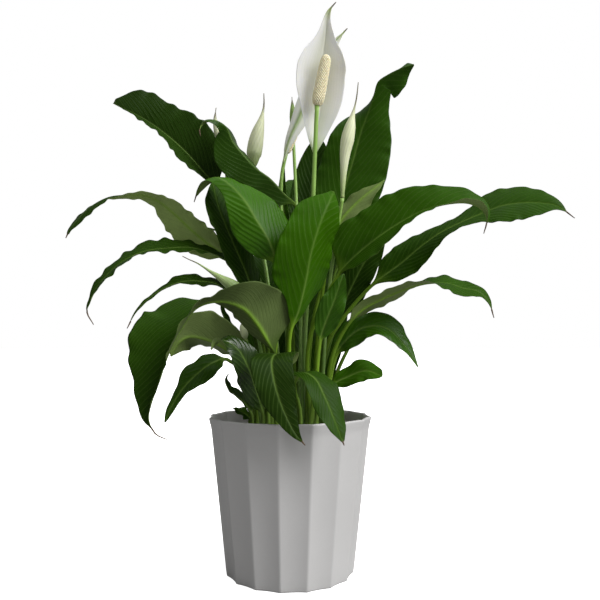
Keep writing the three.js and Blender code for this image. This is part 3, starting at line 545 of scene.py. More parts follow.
leaf_flesh, tree = finish_of("leaf_flesh")
tone, under, stalk = number(tree, "tone"), number(tree, "under"), number(tree, "stalk")
veins = put(tree, "ShaderNodeGroup", {"Vein": number(tree, "vein"), "Width": 0.14}, node_tree=veining)
# The upper face's green, dark to bright by tone: partly the leaf's age, partly painted light and shade set
# leaf by leaf.
upper = blend(tone, (0.0108, 0.0277, 0.0019, 1), (0.0280, 0.0950, 0.0010, 1))
upper = blend(veins["Line"] * 0.30, upper, (0.065, 0.115, 0.022, 1))
upper = blend(number(tree, "rib") * 0.85, upper, (0.130, 0.220, 0.040, 1))
# How pale each leaf's underside is, set leaf by leaf through pale: painted light and shade.
lower = blend(number(tree, "pale"), (0.085, 0.122, 0.037, 1), (0.270, 0.370, 0.115, 1))
lower = blend(veins["Line"] * 0.25, lower, (0.180, 0.260, 0.080, 1))
lower = blend(number(tree, "keel") * 0.8, lower, (0.180, 0.340, 0.025, 1))
# The petiole's green follows the same tone: partly its age, partly painted light and shade set leaf by leaf.
petiole = blend(tone, (0.030, 0.060, 0.010, 1), (0.170, 0.310, 0.020, 1))
petiole = blend(step(number(tree, "height"), 0.20, 0.14), petiole, (0.125, 0.210, 0.035, 1))
flesh = blend(stalk, blend(under, upper, lower), petiole)
flesh = blend(step(number(tree, "tip"), 0.985, 1.04), flesh, (0.120, 0.085, 0.055, 1))
duller = under * 0.16 - number(tree, "gloss") * 0.16 + stalk * 0.06
look = dress(tree, flesh, 45.0, 0.55, (0.34, 0.46), duller=duller)
wander = look["Clouds"] * 1.3 + number(tree, "vein")
pleats = sums("COSINE", wander * (2 * math.pi)) * number(tree, "pleat")
folds = relief(tree, pleats * (under * 0.6 - 1.0), 0.001)
fine = veins["Line"] * -0.45 + veins["Fine lines"] * -0.08 + look["Grain"] * 0.10
relief(tree, fine, 0.00022, 0.9, Normal=folds)

PLAIN_IOR, GLOSSY_IOR = 1.11, 1.51
flesh_of = {}


def flesh_with(gloss):
    """The finish of a leaf that shines more or less."""
    if gloss not in flesh_of:
        flesh_of[gloss] = leaf_flesh.copy()
        shader = flesh_of[gloss].node_tree.nodes["Principled BSDF"]
        give(shader, {"IOR": PLAIN_IOR + gloss * (GLOSSY_IOR - PLAIN_IOR)})
    return flesh_of[gloss]


leaf("left_top", foot=[-8, 20], heading=165, half=39, roll=[-42], fold=[38], curl=-4,
     widths=[0, 0.48, 0.8, 0.93, 1, 0.96, 0.86, 0.82, 0.78, 0.6, 0.14], tone=0.04, pleat=0.12, gloss=0.05,
     frill=1.25,
     spine=[(-20, 26, 256), (-50, 38, 338), (-80, 37, 401), (-95, 38, 419), (-122, 35, 449), (-156, 27, 475),
     (-193, 14, 492)])
leaf("left_hooked", foot=[0, 8], heading=150, half=31, roll=[-25], fold=[-40], curl=0, tail=8,
     widths=[0, 0.5, 0.8, 0.97, 1, 1, 0.95, 0.55, 0.24, 0.15, 0.05], tone=0.35, pleat=0.05, gloss=0.2,
     spine=[(-2, 8, 245), (8, 11, 309), (7, 12, 376), (-8, 13, 394), (-22, 13, 409), (-37, 12, 420),
     (-49, 10, 432), (-62, 7, 448), (-69, 4, 463), (-79, 1, 469), (-91, -2, 468), (-96, -4, 460),
     (-95, -4, 450)])
leaf("left_facing", foot=[-12, -20], heading=125, half=32, lean=[-0.16], roll=[-20], fold=[-15], curl=-6,
     tail=8, widths=[0, 0.62, 0.93, 1, 0.95, 0.8, 0.58, 0.42, 0.34, 0.22, 0.05], tone=0.95, pleat=0.2,
     spacing=11, gloss=0.2,
     spine=[(-15, -27, 215), (-10, -33, 274), (-12, -36, 306), (-20, -39, 332), (-33, -38, 354),
     (-45, -35, 374), (-60, -30, 391), (-75, -24, 401), (-87, -19, 399), (-95, -14, 390), (-100, -10, 378)])
leaf("left_shaded", foot=[-18, -6], heading=130, start=2, half=20,
     widths=[0, 0.6, 0.85, 0.9, 0.92, 0.95, 0.96, 0.9, 0.75, 0.45, 0.05], tone=0.2, pleat=0.12,
     spine=[(-24, -12, 235), (-36, -12, 276), (-45, -12, 303), (-56, -11, 328), (-66, -10, 351),
     (-74, -8, 371), (-79, -4, 388), (-82, 0, 403)])
leaf("left_upper", foot=[-22, 8], heading=180, half=22, roll=[50, 50, 50, 40, -5, -35, -50], fold=[-12],
     curl=0, tail=5, widths=[0, 0.5, 0.88, 1, 1, 0.9, 0.5, 0.36, 0.4, 0.44, 0.44, 0.36, 0.12], tone=0.15,
     pale=1.0, frill=1.3,
     spine=[(-28, 10, 235), (-44, 13, 285), (-62, 14, 318), (-84, 15, 335), (-106, 14, 353), (-123, 10, 369),
     (-141, 6, 383), (-156, 0, 388), (-173, -4, 387), (-190, -8, 384), (-207, -12, 373), (-219, -15, 359),
     (-226, -17, 349), (-230, -18, 339)])
leaf("left_middle", foot=[-26, -2], heading=182, half=16, roll=[-20, -32, -34], curl=-6, tail=18,
     widths=[0, 0.6, 0.9, 1, 1, 1, 0.95, 0.85, 0.66, 0.4, 0.12], tone=0.2, pale=0.7, frill=1.3,
     spine=[(-29, 0, 235), (-42, 1, 278), (-53, 1, 310), (-70, -1, 320), (-88, -3, 327), (-105, -4, 331),
     (-128, -6, 330), (-152, -9, 326), (-173, -13, 315), (-187, -15, 302), (-197, -17, 289),
     (-203, -19, 274), (-206, -20, 263), (-199, -20, 250)])
leaf("left_narrow", foot=[-30, -8], heading=185, half=12, roll=[-28], curl=-6, tail=9,
     widths=[0, 0.7, 1, 1, 0.9, 0.62, 0.42, 0.25, 0.08], tone=0.1,
     spine=[(-33, -6, 224), (-45, -6, 262), (-56, -6, 279), (-75, -8, 292), (-93, -11, 295),
     (-111, -15, 294), (-128, -19, 287), (-143, -23, 276), (-155, -26, 262), (-163, -28, 246)])
leaf("left_hanging", foot=[-22, -26], heading=200, start=2, half=35,
     lean=[0.45, 0.45, 0.2, -0.2, -0.27, -0.27, -0.27],
     roll=[58] * 4 + [35, 10, -5, -15, -22, -28] + [-30] * 4,
     fold=[30] * 4 + [25, 15, 18, 27, 36] + [45] * 5, curl=-8, tail=20,
     widths=[0, 0.56, 0.75, 0.77, 0.67, 0.66, 0.82, 0.98, 1, 0.93, 0.76, 0.52, 0.28, 0.04], tone=0.2,
     pleat=0.16, spacing=9, pale=0.0, frill=1.3,
     spine=[(-19, -34, 205), (-14, -38, 219), (-21, -46, 233), (-32, -56, 251), (-44, -67, 264),
     (-64, -74, 270), (-84, -84, 264), (-97, -93, 244), (-108, -95, 221), (-116, -96, 196), (-123, -95, 176),
     (-125, -94, 163), (-119, -93, 150), (-109, -92, 145)])
leaf("left_behind", foot=[-34, -14], heading=160, start=2, half=31, roll=[50], fold=[30], curl=-6, tone=0.95,
     pleat=0.06, pale=0.3,
     spine=[(-35, -18, 185), (-48, -14, 210), (-64, -16, 224), (-84, -19, 234), (-102, -22, 237),
     (-112, -24, 231), (-119, -26, 218)])
leaf("left_spear", foot=[-26, -14], heading=150, start=2, half=7, curl=20, wave=0,
     spine=[(-28, -14, 189), (-42, -12, 210), (-54, -10, 231), (-64, -8, 250), (-71, -5, 267),
     (-69, -2, 283)])
leaf("left_low", foot=[-36, -2], heading=190, half=15, roll=[-50, -50, -70],
     widths=[0, 0.75, 1, 1, 0.82, 0.5, 0.34, 0.26, 0.06], tone=0.35, pleat=0.1, gloss=0.2,
     spine=[(-38, -10, 180), (-50, -18, 204), (-63, -24, 215), (-78, -32, 211), (-91, -36, 201),
     (-104, -40, 187), (-114, -44, 170), (-120, -46, 155)])
leaf("front_glossy", foot=[-30, -34], heading=130, start=1, half=17, tone=0.08, pleat=0.22, gloss=0.7,
     spine=[(-26, -44, 162), (-31, -52, 184), (-39, -58, 208), (-48, -64, 225), (-59, -68, 233),
     (-68, -70, 233), (-73, -70, 225)])
leaf("small_curl", foot=[-38, -22], heading=150, start=1, half=7, curl=30, wave=0, tone=0.1, gloss=0.5,
     spine=[(-38, -26, 160), (-44, -34, 172), (-52, -40, 180), (-59, -44, 187), (-62, -46, 196),
     (-59, -47, 202)])
leaf("small_rim", foot=[-44, -16], heading=180, start=1, half=6, roll=[-40], tone=0.4,
     spine=[(-40, -20, 155), (-46, -25, 162), (-56, -30, 167)])
leaf("centre_bright", foot=[2, -22], heading=95, half=35, roll=[25], fold=[-20], curl=-8,
     widths=[0, 0.24, 0.44, 0.84, 0.98, 1, 0.94, 0.84, 0.74, 0.46, 0.06], tone=0.9, pleat=0.09, spacing=13,
     spine=[(2, -30, 175), (0, -38, 208), (1, -42, 242), (9, -48, 262), (16, -54, 290), (21, -58, 317),
     (29, -58, 344), (36, -53, 362), (41, -46, 374), (44, -38, 383)])
leaf("centre_small", foot=[18, -20], heading=80, half=13, widths=[0, 0.5, 0.85, 1, 1, 0.9, 0.7, 0.45, 0.06],
     tone=0.85, pleat=0.14, gloss=0.3,
     spine=[(24, -26, 175), (27, -29, 200), (30, -33, 232), (36, -37, 252), (44, -39, 272), (50, -39, 289),
     (54, -37, 300)])
leaf("front_left", foot=[-8, -36], heading=-90, start=2, half=19, tail=5,
     widths=[0, 0.75, 1, 1, 1, 0.98, 0.9, 0.76, 0.55, 0.32, 0.06], tone=0.0, pleat=0.08, spacing=9,
     gloss=0.05,
     spine=[(-6, -46, 172), (-8, -56, 200), (-8, -64, 217), (-12, -78, 221), (-15, -93, 214),
     (-12, -101, 196), (-5, -104, 175), (6, -107, 153), (15, -108, 142)])
leaf("front_right", foot=[10, -38], heading=-60, start=2, half=16, tail=4,
     widths=[0, 0.6, 0.95, 1, 1, 0.96, 0.82, 0.6, 0.12], tone=0.28, pleat=0.13, spacing=7, gloss=0.1,
     spine=[(10, -50, 167), (5, -66, 191), (12, -80, 204), (24, -94, 199), (33, -102, 182), (41, -106, 163),
     (49, -108, 142)])
leaf("right_top", foot=[16, 14], heading=75, half=40, lean=[-0.06], roll=[0] * 9 + [-15, -32] + [-45] * 4,
     fold=[10] * 8 + [8, 0, -25] + [-45] * 4,
     widths=[0, 0.4, 0.74, 0.9, 0.98, 1, 1, 0.97, 0.88, 0.7, 0.5, 0.42, 0.62, 0.5, 0.03], tone=0.6,
     pleat=0.06, spacing=13, gloss=0.15,
     spine=[(23, 22, 246), (36, 28, 300), (44, 34, 336), (53, 40, 374), (61, 45, 406), (71, 48, 439),
     (80, 48, 471), (89, 45, 496), (94, 41, 512), (98, 37, 525), (108, 32, 531), (122, 26, 536),
     (136, 20, 538)])
leaf("right_light", foot=[22, 6], heading=240, half=18, roll=[0], tone=0.6, pleat=0.1, pale=0.25,
     spine=[(30, 12, 245), (38, 18, 310), (45, 20, 343), (56, 21, 366), (71, 22, 383), (87, 23, 397),
     (103, 25, 410)])
leaf("right_large", foot=[22, -7], heading=0, half=34, roll=[50, 50, 38, 24], fold=[34], curl=-6, tail=12,
     widths=[0, 0.7, 0.98, 1, 1, 0.95, 0.84, 0.72, 0.66, 0.46, 0.06], tone=0.6, pleat=0.08, spacing=12,
     pale=0.6,
     spine=[(19, -14, 229), (32, -19, 268), (48, -22, 298), (57, -25, 310), (73, -29, 325), (94, -33, 341),
     (113, -35, 353), (135, -37, 364), (159, -39, 370), (179, -40, 370), (192, -40, 363), (196, -40, 352),
     (193, -40, 340)])
leaf("right_far", foot=[32, 4], heading=0, half=26, roll=[60, 60, 45, 35, 45, 60, 60], tail=12,
     widths=[0, 0.42, 0.7, 0.8, 0.76, 0.64, 0.48, 0.42, 0.55, 0.85, 1, 0.96, 0.8, 0.45, 0.05], tone=0.45,
     pleat=0.12, pale=0.8,
     spine=[(37, 6, 224), (54, 8, 255), (84, 10, 290), (100, 8, 303), (119, 7, 317), (139, 5, 334),
     (159, 3, 348), (179, 1, 358), (200, -1, 367), (221, -4, 375), (243, -7, 378), (264, -10, 377),
     (277, -12, 374), (294, -16, 360)])
leaf("right_middle", foot=[34, -14], heading=0, half=20, roll=[-32, -30, -22, -5, 25, 40, 40], tail=10,
     widths=[0, 0.5, 0.75, 0.8, 0.82, 0.85, 0.92, 1, 1, 0.9, 0.7, 0.42, 0.06], tone=0.5,
     spine=[(39, -20, 196), (44, -26, 222), (57, -30, 248), (72, -33, 264), (92, -35, 275), (114, -37, 284),
     (135, -40, 290), (156, -41, 290), (172, -42, 285), (186, -42, 282), (196, -42, 272), (201, -42, 256)])
leaf("right_lower", foot=[36, -4], heading=10, start=2, half=16, roll=[55], fold=[22], tone=0.85, gloss=0.3,
     spine=[(39, -10, 178), (47, -13, 218), (59, -18, 236), (75, -22, 247), (95, -26, 247), (111, -28, 234),
     (128, -31, 207)])
leaf("right_low", foot=[34, -26], heading=0, start=2, half=12, roll=[55], belly=0.55, fullness=1.1,
     tone=0.72, pleat=0.06,
     spine=[(36, -36, 171), (42, -42, 190), (57, -48, 199), (74, -54, 205), (89, -58, 200)])
leaf("right_behind", foot=[26, 16], heading=30, start=2, half=20, roll=[40], tone=0.1,
     spine=[(35, 27, 202), (51, 38, 255), (63, 44, 283), (78, 48, 313), (94, 50, 340), (110, 52, 365)])
leaf("middle_spear", foot=[6, 22], heading=90, start=2, half=6, curl=20, wave=0,
     spine=[(2, 36, 246), (-4, 52, 345), (-10, 60, 406), (-8, 62, 441)])
leaf("back_centre", foot=[10, 26], heading=90, start=1, half=27, belly=0.55, fullness=1.1, tone=0.2,
     pleat=0.1, gloss=0.2,
     spine=[(11, 36, 200), (13, 46, 250), (23, 78, 405), (28, 82, 444), (33, 80, 474)])
leaf("back_high", foot=[4, 32], heading=92, start=2, half=25,
     spine=[(8, 50, 250), (12, 82, 345), (14, 120, 412), (10, 165, 444), (6, 200, 434)])
leaf("back_middle", foot=[28, 38], heading=75, start=1, half=27,
     spine=[(29, 43, 160), (33, 56, 212), (44, 90, 284), (54, 130, 335), (61, 165, 338), (64, 192, 318)])
leaf("back_near", foot=[-20, 40], heading=108, start=1, half=28,
     spine=[(-21, 45, 160), (-24, 58, 222), (-29, 88, 298), (-37, 128, 338), (-44, 164, 332),
     (-48, 190, 305)])
leaf("back_low", foot=[6, 44], heading=92, start=1, half=30, fullness=1.3,
     spine=[(6, 50, 154), (5, 66, 184), (2, 98, 222), (-3, 138, 238), (-6, 172, 224), (-8, 192, 198)])
leaf("back_right", foot=[22, 26], heading=48, start=2, half=22,
     spine=[(32, 46, 235), (52, 76, 315), (76, 106, 362), (100, 135, 380), (120, 158, 365)])
leaf("back_right_low", foot=[30, 26], heading=42, start=2, half=18,
     spine=[(47, 37, 190), (73, 58, 238), (98, 86, 256), (120, 109, 250), (136, 125, 234)])
leaf("back_left", foot=[-12, 30], heading=135, start=2, half=20,
     spine=[(-22, 46, 235), (-46, 76, 312), (-75, 100, 358), (-100, 120, 372), (-120, 138, 362)])
leaf("back_left_low", foot=[-24, 24], heading=138, start=2, half=18,
     spine=[(-42, 34, 190), (-67, 57, 235), (-88, 83, 250), (-106, 103, 240)])

# ---- The flower stalks ----
# A round, juicy, light green stalk for each flower, which stands in the soil among the petioles and ends
# under the flower. It is smooth, a little darker towards the soil, with faint lengthwise lines.
stalk_flesh, tree = finish_of("stalk_flesh")
place = put(tree, "ShaderNodeTexCoord")["Object"]
fibres = noise(put(tree, "ShaderNodeMapping", {0: place, 3: (900, 900, 12)}), 1.0, 2.0)
green = blend(step(number(tree, "height"), 0.16, 0.44), (0.100, 0.200, 0.030, 1), (0.235, 0.410, 0.075, 1))
green = blend(step(fibres, 0.4, 0.65) * 0.35, green, (0.300, 0.460, 0.130, 1))
dress(tree, green, 60.0, 0.3, (0.36, 0.5), Specular_IOR_Level=0.4)
relief(tree, fibres, 0.0001, 0.8)

STALK_SIDES = 24
# Each stalk's radius, where it enters the soil, and the points of its run above.
STALKS = {
    "flower_main": (2.2, (12, -4), (16, -6, 245), (21, -12, 317), (24, -16, 379), (26, -18, 431),
                    (28, -20, 477)),
    "flower_rear": (2, (-2, 18), (-4, 26, 245), (-9, 37, 321), (-11, 43, 388), (-10, 44, 421),
                    (-5.5, 44, 444.5)),
    "bud_green": (1.9, (8, 12), (11, 30, 246), (8, 46, 322), (6, 56, 396), (3, 62, 460), (2, 63, 477)),
    "bud_left": (1.8, (-10, 4), (-13, 14, 220), (-25, 34, 300), (-38, 48, 380), (-43, 54, 432)),
    "bud_far_left": (1.7, (-16, 14), (-30, 22, 245), (-50, 30, 333), (-68, 32, 401), (-74, 30, 438)),
    "bud_right": (1.8, (31, -10), (36, -12, 235), (42, -11, 300), (50, -16, 355), (54, -20, 380)),
    "bud_low_left": (1.7, (-20, -14), (-23, -20, 180), (-30, -24, 229), (-37, -26, 258), (-44, -28, 278)),
    "bud_small": (1.5, (-27, -24), (-31, -28, 175), (-37, -31, 212), (-43, -32, 234)),
}
for name, (radius, foot, *spine) in STALKS.items():
    at, along, reached = grown_line([(*foot, SOIL_TOP + 1), *spine])
    length = np.linspace(0, reached[-1], 56)[1:]
    swollen = radius * (1 + 0.12 * np.clip((length - reached[-1] + 9) / 9, 0, 1) ** 2)
    rings = np.vstack([foot_rings(foot, radius, STALK_SIDES), tube(at, along, length, swollen, STALK_SIDES)])
    piece = loft(f"grown_{name}_stem", rings, {"height": rings[:, :, 2] * 0.001})
    piece.data.materials.append(stalk_flesh)
    settle(piece, "stem", name + "_stem")

# ---- The open spathes ----
# The white hood of an open flower is one thin leaf, shaped like a shield behind the spadix, soft and satiny.
# Its veins run from foot to tip. It is green along its back, at its foot and at its tip, a dry thread. Its
# front is greyer and greener towards its midrib than at its edge: partly the midrib's green, partly painted
# shade of the spadix and of the cupped hood.
spathe_flesh, tree = finish_of("spathe_flesh")
tip, edge = number(tree, "tip"), number(tree, "edge")
lines = put(tree, "ShaderNodeGroup", {"Vein": number(tree, "fan") * 9.0, "Width": 0.3}, node_tree=veining)
# The front: greyer and greener near the midrib, whiter towards the edge: partly the midrib's green, partly
# painted shade of the spadix and the cupped hood.
front = blend(step(edge, 0.1, 0.8), (0.640, 0.650, 0.560, 1), (0.800, 0.795, 0.760, 1))
back = blend(step(edge, 0.0, 0.5), (0.300, 0.400, 0.180, 1), (0.760, 0.770, 0.700, 1))
white = blend(number(tree, "under"), front, back)
white = blend(lines["Line"] * 0.08, white, (0.500, 0.560, 0.380, 1))
white = blend(step(tip, 0.16, 0.0), white, (0.420, 0.510, 0.260, 1))
white = blend(step(tip, 0.90, 1.0), white, (0.330, 0.400, 0.170, 1))
white = blend(step(tip, 1.0, 1.06), white, (0.130, 0.105, 0.080, 1))
look = dress(tree, white, 40.0, 0.08, (0.42, 0.55), Specular_IOR_Level=0.35, Subsurface_Weight=0.25,
             Subsurface_Radius=(0.004, 0.0035, 0.002), Subsurface_Scale=0.6)
relief(tree, lines["Line"] * 0.3 + look["Grain"], 0.0001, 0.7)

SPATHE_FOLD, SPATHE_CURL, SPATHE_THICKNESS, SPATHE_ROWS, THREAD_ROWS = 12, 14, 0.6, 100, 8


def open_spathe(name, heading, half, tail, spine, roll=0, widths=None):
    at, along, reached = grown_line(spine)
    total = reached[-1]
    end = total - tail
    share = np.linspace(0, 1, SPATHE_ROWS)
    left, up = across(along(end * share), heading, np.full(SPATHE_ROWS, float(roll)))
    width = outline(share, 0.55, 2.2, widths)
    ripple = 0.9 * width[:, None] * q ** 4 * np.sin(share[:, None] * 13 + side)
    fold = np.full(SPATHE_ROWS, math.radians(SPATHE_FOLD))
    wide = np.maximum(half * width, 1.1)
    hood = blade_rings(at(end * share), left, up, wide, fold, math.radians(SPATHE_CURL), ripple,
                       SPATHE_THICKNESS, 0.5 * (1 - share))
    beyond = np.linspace(end, total, THREAD_ROWS + 1)[1:]
    thread = tube(at, along, beyond, np.linspace(0.95, 0.5, THREAD_ROWS), AROUND, heading, roll)
    rings = np.vstack([hood, thread])
    spread = spreader(SPATHE_ROWS, 0, THREAD_ROWS)
    dry = 1 + 0.12 * np.linspace(0, 1, THREAD_ROWS + 1)[1:, None]
    piece = loft("grown_" + name, rings, {
        "under": np.tile(UNDER, (len(rings), 1)),
        "edge": spread(q), "fan": spread(q * side), "tip": spread(share[:, None], 0, dry)})
    piece.data.materials.append(spathe_flesh)
    settle(piece, "spathe", name)


open_spathe("flower_main_spathe", heading=90, half=27.5, tail=9,
            widths=[0.06, 0.32, 0.54, 0.75, 0.9, 0.98, 0.99, 0.8, 0.42, 0.19, 0.05],
            spine=[(25.5, -15, 428), (28, -10, 449), (32, -7, 484), (32, -8, 511), (34, -12, 529),
                   (37, -16, 552), (39, -20, 572), (42, -21, 580), (48, -22, 587)])
open_spathe("flower_rear_spathe", heading=225, half=14, tail=6, roll=30,
            spine=[(-8.5, 41.2, 434), (-2, 38, 458), (9, 37, 483), (27, 36, 524), (46, 36, 566),
                   (64, 36, 587)])

# ---- The spadices ----
# The cream club inside an open flower: a fleshy core, set all over with small domed florets in a spiral. Each
# floret is darker down its sides, and the core is darker between them: painted shade in the crevices.
floret_flesh, tree = finish_of("floret_flesh")
# Cream on the floret tops, darker down their sides and on the core: painted shade in the crevices between
# florets.
cream = blend(step(number(tree, "raised"), 0.1, 0.9), (0.760, 0.640, 0.360, 1), (0.950, 0.890, 0.640, 1))
dress(tree, cream, 260.0, 0.3, (0.55, 0.75), by="Grain", Specular_IOR_Level=0.35, Subsurface_Weight=0.2,
      Subsurface_Radius=(0.003, 0.002, 0.001), Subsurface_Scale=0.6)

GOLDEN_ANGLE = math.pi * (3 - math.sqrt(5))
florets, given = sized_group("Florets", Florets="Int", Length="Float", Radius="Float", Floret_size="Float",
                             Seed="Int")
index = put(florets, "GeometryNodeInputIndex")
share = (index + 0.5) / given["Florets"]
angle = index * GOLDEN_ANGLE
bluff = sums("POWER", sums("ABSOLUTE", share * 2.0 - 1.0), 8.0)
girth = sums("SQRT", sums("MAXIMUM", 1.0 - bluff, 0.02)) * ((share * -0.18 + 1.0) * given["Radius"])
east, north = sums("COSINE", angle), sums("SINE", angle)
out = vector(east, north, sums("POWER", share, 12.0) * 2.0)
spot = vector(east * girth, north * girth, share * given["Length"])
row = put(florets, "GeometryNodeMeshLine", {"Count": given["Florets"]})
spots = put(florets, "GeometryNodeSetPosition", {"Geometry": row, "Position": spot})
ball = put(florets, "GeometryNodeMeshUVSphere", {"Segments": 7, "Rings": 5, "Radius": 1.0})
raised = {"Geometry": ball, "Name": "raised", "Value": parts(florets)["Z"]}
dome = put(florets, "GeometryNodeStoreNamedAttribute", raised, data_type="FLOAT", domain="POINT")
turn = put(florets, "FunctionNodeAlignRotationToVector", {"Vector": out}, axis="Z")
varied = put(florets, "FunctionNodeRandomValue", {2: 0.86, 3: 1.12, "Seed": given["Seed"]}, data_type="FLOAT")
size = varied[1] * given["Floret size"]
domes = {"Points": spots, "Instance": dome, "Rotation": turn, "Scale": vector(size, size, size * 0.7)}
joined = put(florets, "GeometryNodeJoinGeometry")
for part in (given["Geometry"], put(florets, "GeometryNodeInstanceOnPoints", domes)):
    give(joined.node, {0: part})
whole = put(florets, "GeometryNodeRealizeInstances", {0: joined})
hand_over(florets, put(florets, "GeometryNodeSetShadeSmooth", {0: whole}), given["Finish"])

CORE_ROWS, CORE_SIDES, FLORET_SIZE = 40, 24, 0.00105


def spadix(name, base, tip, radius, count, seed):
    base, tip = Vector(base) * 0.001, Vector(tip) * 0.001
    length = (tip - base).length
    rows = np.linspace(0, 1, CORE_ROWS)
    girth = np.sqrt(np.clip(1 - np.abs(2 * rows - 1) ** 8, 0.02, 1)) * (1 - 0.18 * rows) * radius * 0.97
    centre = np.stack([0 * rows, 0 * rows, rows * length * 1000], axis=-1)
    left, up = across(np.tile([0.0, 0.0, 1.0], (CORE_ROWS, 1)), 0, np.zeros(CORE_ROWS))
    core = round_rings(centre, left, up, girth, CORE_SIDES)
    piece = loft("grown_" + name, core, {"raised": np.zeros((CORE_ROWS, CORE_SIDES))})
    run_nodes(piece, florets, Florets=count, Length=length, Radius=radius * 0.001, Floret_size=FLORET_SIZE,
              Seed=seed, Finish=floret_flesh)
    piece.data.transform(Matrix.Translation(base) @ (tip - base).to_track_quat("Z", "Y").to_matrix().to_4x4())
    settle(piece, "spadix", name)


spadix("flower_main_spadix", (28, -20, 477.4), (38, -24, 529), 6.2, 600, 5)
spadix("flower_rear_spadix", (-5.1, 44.2, 445.7), (14, 52, 494), 4.3, 400, 6)

# ---- The closed spathes ----
# Before it opens, the spathe is rolled round its spadix into a slim spindle. The outer edge of the roll shows
# as a lengthwise step that winds a little; the tip is drawn out to a dry thread. One bud is still green all
# over, and two are in part.
bud_flesh, tree = finish_of("bud_flesh")
tip = number(tree, "tip")
lines = put(tree, "ShaderNodeGroup", {"Vein": number(tree, "fan") * 14.0, "Width": 0.3}, node_tree=veining)
cream = blend(step(tip, 0.0, 0.35), (0.330, 0.430, 0.150, 1), (0.660, 0.690, 0.460, 1))
cream = blend(lines["Line"] * 0.22, cream, (0.380, 0.460, 0.220, 1))
# Darker just below the step where the roll's outer edge overlaps: painted shade of that edge.
cream = blend(number(tree, "seam") * 0.4, cream, (0.350, 0.370, 0.220, 1))
green = blend(step(tip, 0.0, 0.5), (0.130, 0.260, 0.045, 1), (0.240, 0.370, 0.090, 1))
green = blend(lines["Line"] * 0.3, green, (0.320, 0.440, 0.160, 1))
petal = blend(number(tree, "green"), cream, green)
petal = blend(step(tip, 0.72, 0.86), petal, (0.200, 0.180, 0.120, 1))
dress(tree, petal, 90.0, 0.15, (0.42, 0.56), Specular_IOR_Level=0.35, Subsurface_Weight=0.2,
      Subsurface_Radius=(0.003, 0.003, 0.0015), Subsurface_Scale=0.5)
relief(tree, lines["Line"], 0.0002, 0.7)

BUD_ROWS, BUD_SIDES, LAP, WINDING = 70, 36, 0.13, 0.35


def closed_spathe(name, foot_radius, radius, spine, belly=0.4, widths=None, slot="bud", green=0.0):
    at, along, reached = grown_line(spine)
    share = np.linspace(0, 1, BUD_ROWS)
    swell = outline(share, belly, 2.4, widths) * radius
    swell = np.maximum(swell, np.where(share < 0.35, foot_radius * (0.3 if widths else 1), 0.45))
    swell = np.maximum(swell, foot_radius * 1.15 * np.clip(1.15 - share * 14, 0, 1))
    length = reached[-1] * share
    centre = at(length)[:, None]
    turn = (np.arange(BUD_SIDES)[None] / BUD_SIDES + WINDING * share[:, None] + 0.2) % 1
    lap = LAP * np.clip(swell / radius, 0, 1)[:, None]
    swell = (swell[:, None] * (1 - lap * turn))[..., None]
    rings = centre + (tube(at, along, length, 1.0, BUD_SIDES) - centre) * swell
    piece = loft(f"grown_{name}_spathe", rings, {
        "tip": np.broadcast_to(share[:, None], turn.shape), "fan": turn, "green": np.full(turn.shape, green),
        "seam": np.clip((turn - 0.86) / 0.14, 0, 1)})
    piece.data.materials.append(bud_flesh)
    settle(piece, slot, name + "_spathe")


closed_spathe("bud_green", 1.9, 4, [(2, 63, 477), (2, 64, 494), (1, 64, 518)], slot="green_bud", green=1.0)
closed_spathe("bud_left", 1.8, 9.3, [(-43, 54, 432), (-42, 54, 451), (-39, 53, 468), (-34, 52, 487),
                                     (-31, 51, 503), (-31, 50, 517)],
              widths=[0.3, 0.72, 0.98, 0.98, 0.9, 0.74, 0.5, 0.26, 0.12, 0.08, 0.05])
closed_spathe("bud_far_left", 1.7, 5, [(-74, 30, 438), (-76, 28, 450), (-81, 24, 466), (-83, 22, 478),
                                       (-82, 22, 490)], belly=0.35)
closed_spathe("bud_right", 1.8, 7.2, [(54, -20, 380), (55, -20, 403), (57, -20, 428), (60, -20, 445),
                                      (65, -20, 467), (69, -20, 485), (71, -20, 502)],
              widths=[0.24, 0.35, 0.45, 0.62, 0.82, 1, 0.85, 0.4, 0.12, 0.09, 0.06])
closed_spathe("bud_low_left", 1.7, 6.5, [(-44, -28, 278), (-52, -29, 285), (-64, -30, 293), (-78, -31, 302),
                                         (-92, -33, 311), (-101, -35, 315), (-107, -35, 318)],
              widths=[0.3, 0.8, 1, 0.86, 0.6, 0.38, 0.22, 0.14, 0.1, 0.08, 0.06], green=0.8)
closed_spathe("bud_small", 1.5, 4, [(-43, -32, 234), (-45, -33, 241), (-47, -34, 248), (-46, -34, 254)],
              green=0.3)

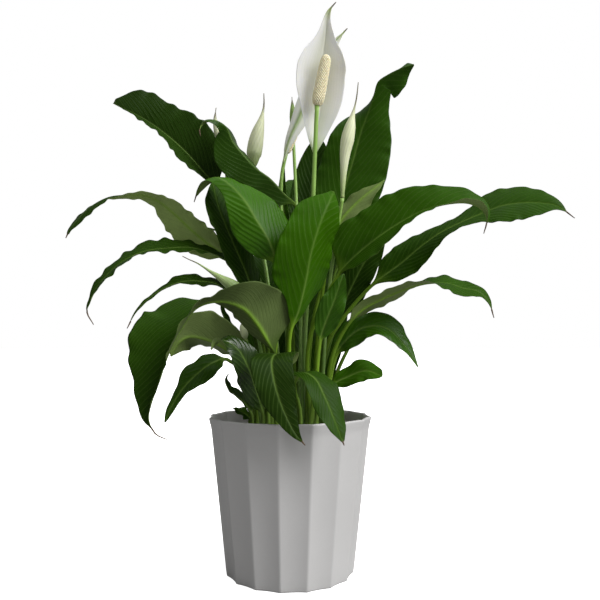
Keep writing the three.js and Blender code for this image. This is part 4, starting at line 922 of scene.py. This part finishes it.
# ---- The studio ----
# A plain near-white floor, a soft key light from the front right, a soft light from above, a pale surround.
# The camera stands 0.7 m in front of the pot, a little above its rim, and looks up slightly.
FLOOR_REACH = 30
floor_paint, tree = finish_of("floor_paint")
seen = put(tree, "ShaderNodeLightPath")["Is Camera Ray"]
pale = blend(seen, (0.30, 0.30, 0.30, 1), (0.86, 0.86, 0.855, 1))
give(tree.nodes["Principled BSDF"], {"Base Color": pale, "Roughness": 0.9, "Specular IOR Level": 0.1,
                                     "Emission Color": (1, 1, 1, 1), "Emission Strength": seen * 0.9})
corners = [(x * FLOOR_REACH, y * FLOOR_REACH, 0) for x, y in ((-1, -1), (1, -1), (1, 1), (-1, 1))]
floor = mesh_of("studio_floor", corners, [(0, 1, 2, 3)])
floor.data.materials.append(floor_paint)

for name, strength, softness, towards in (("key_light", 3.6, 40, (-0.866, 0.5, -0.75)),
                                          ("top_light", 1.4, 70, (-0.1, 0.15, -1.0))):
    light = bpy.data.lights.new(name, "SUN")
    light.energy = strength
    light.angle = math.radians(softness)
    lamp = bpy.data.objects.new(name, light)
    lamp.rotation_euler = Vector(towards).to_track_quat("-Z", "Y").to_euler()
    bpy.context.scene.collection.objects.link(lamp)

surround = bpy.data.worlds.new("pale_surround")
surround.use_nodes = True
tree = surround.node_tree
tree.nodes.clear()
shown = put(tree, "ShaderNodeBackground", {"Color": (1, 1, 1, 1), "Strength": 1.0})
cast = put(tree, "ShaderNodeBackground", {"Color": (1, 1, 1, 1), "Strength": 0.29})
seen = put(tree, "ShaderNodeLightPath")["Is Camera Ray"]
put(tree, "ShaderNodeOutputWorld", {0: put(tree, "ShaderNodeMixShader", {0: seen, 1: cast, 2: shown})})
bpy.context.scene.world = surround

lens = bpy.data.cameras.new("photo_camera")
lens.lens = 40.2
lens.sensor_width = 36
lens.clip_start = 0.02
camera = bpy.data.objects.new("photo_camera", lens)
camera.location = (0.0104, -0.700, 0.230)
camera.rotation_euler = (math.radians(93.8), 0, 0)
bpy.context.scene.collection.objects.link(camera)
bpy.context.scene.camera = camera
bpy.context.scene.view_settings.view_transform = "Standard"
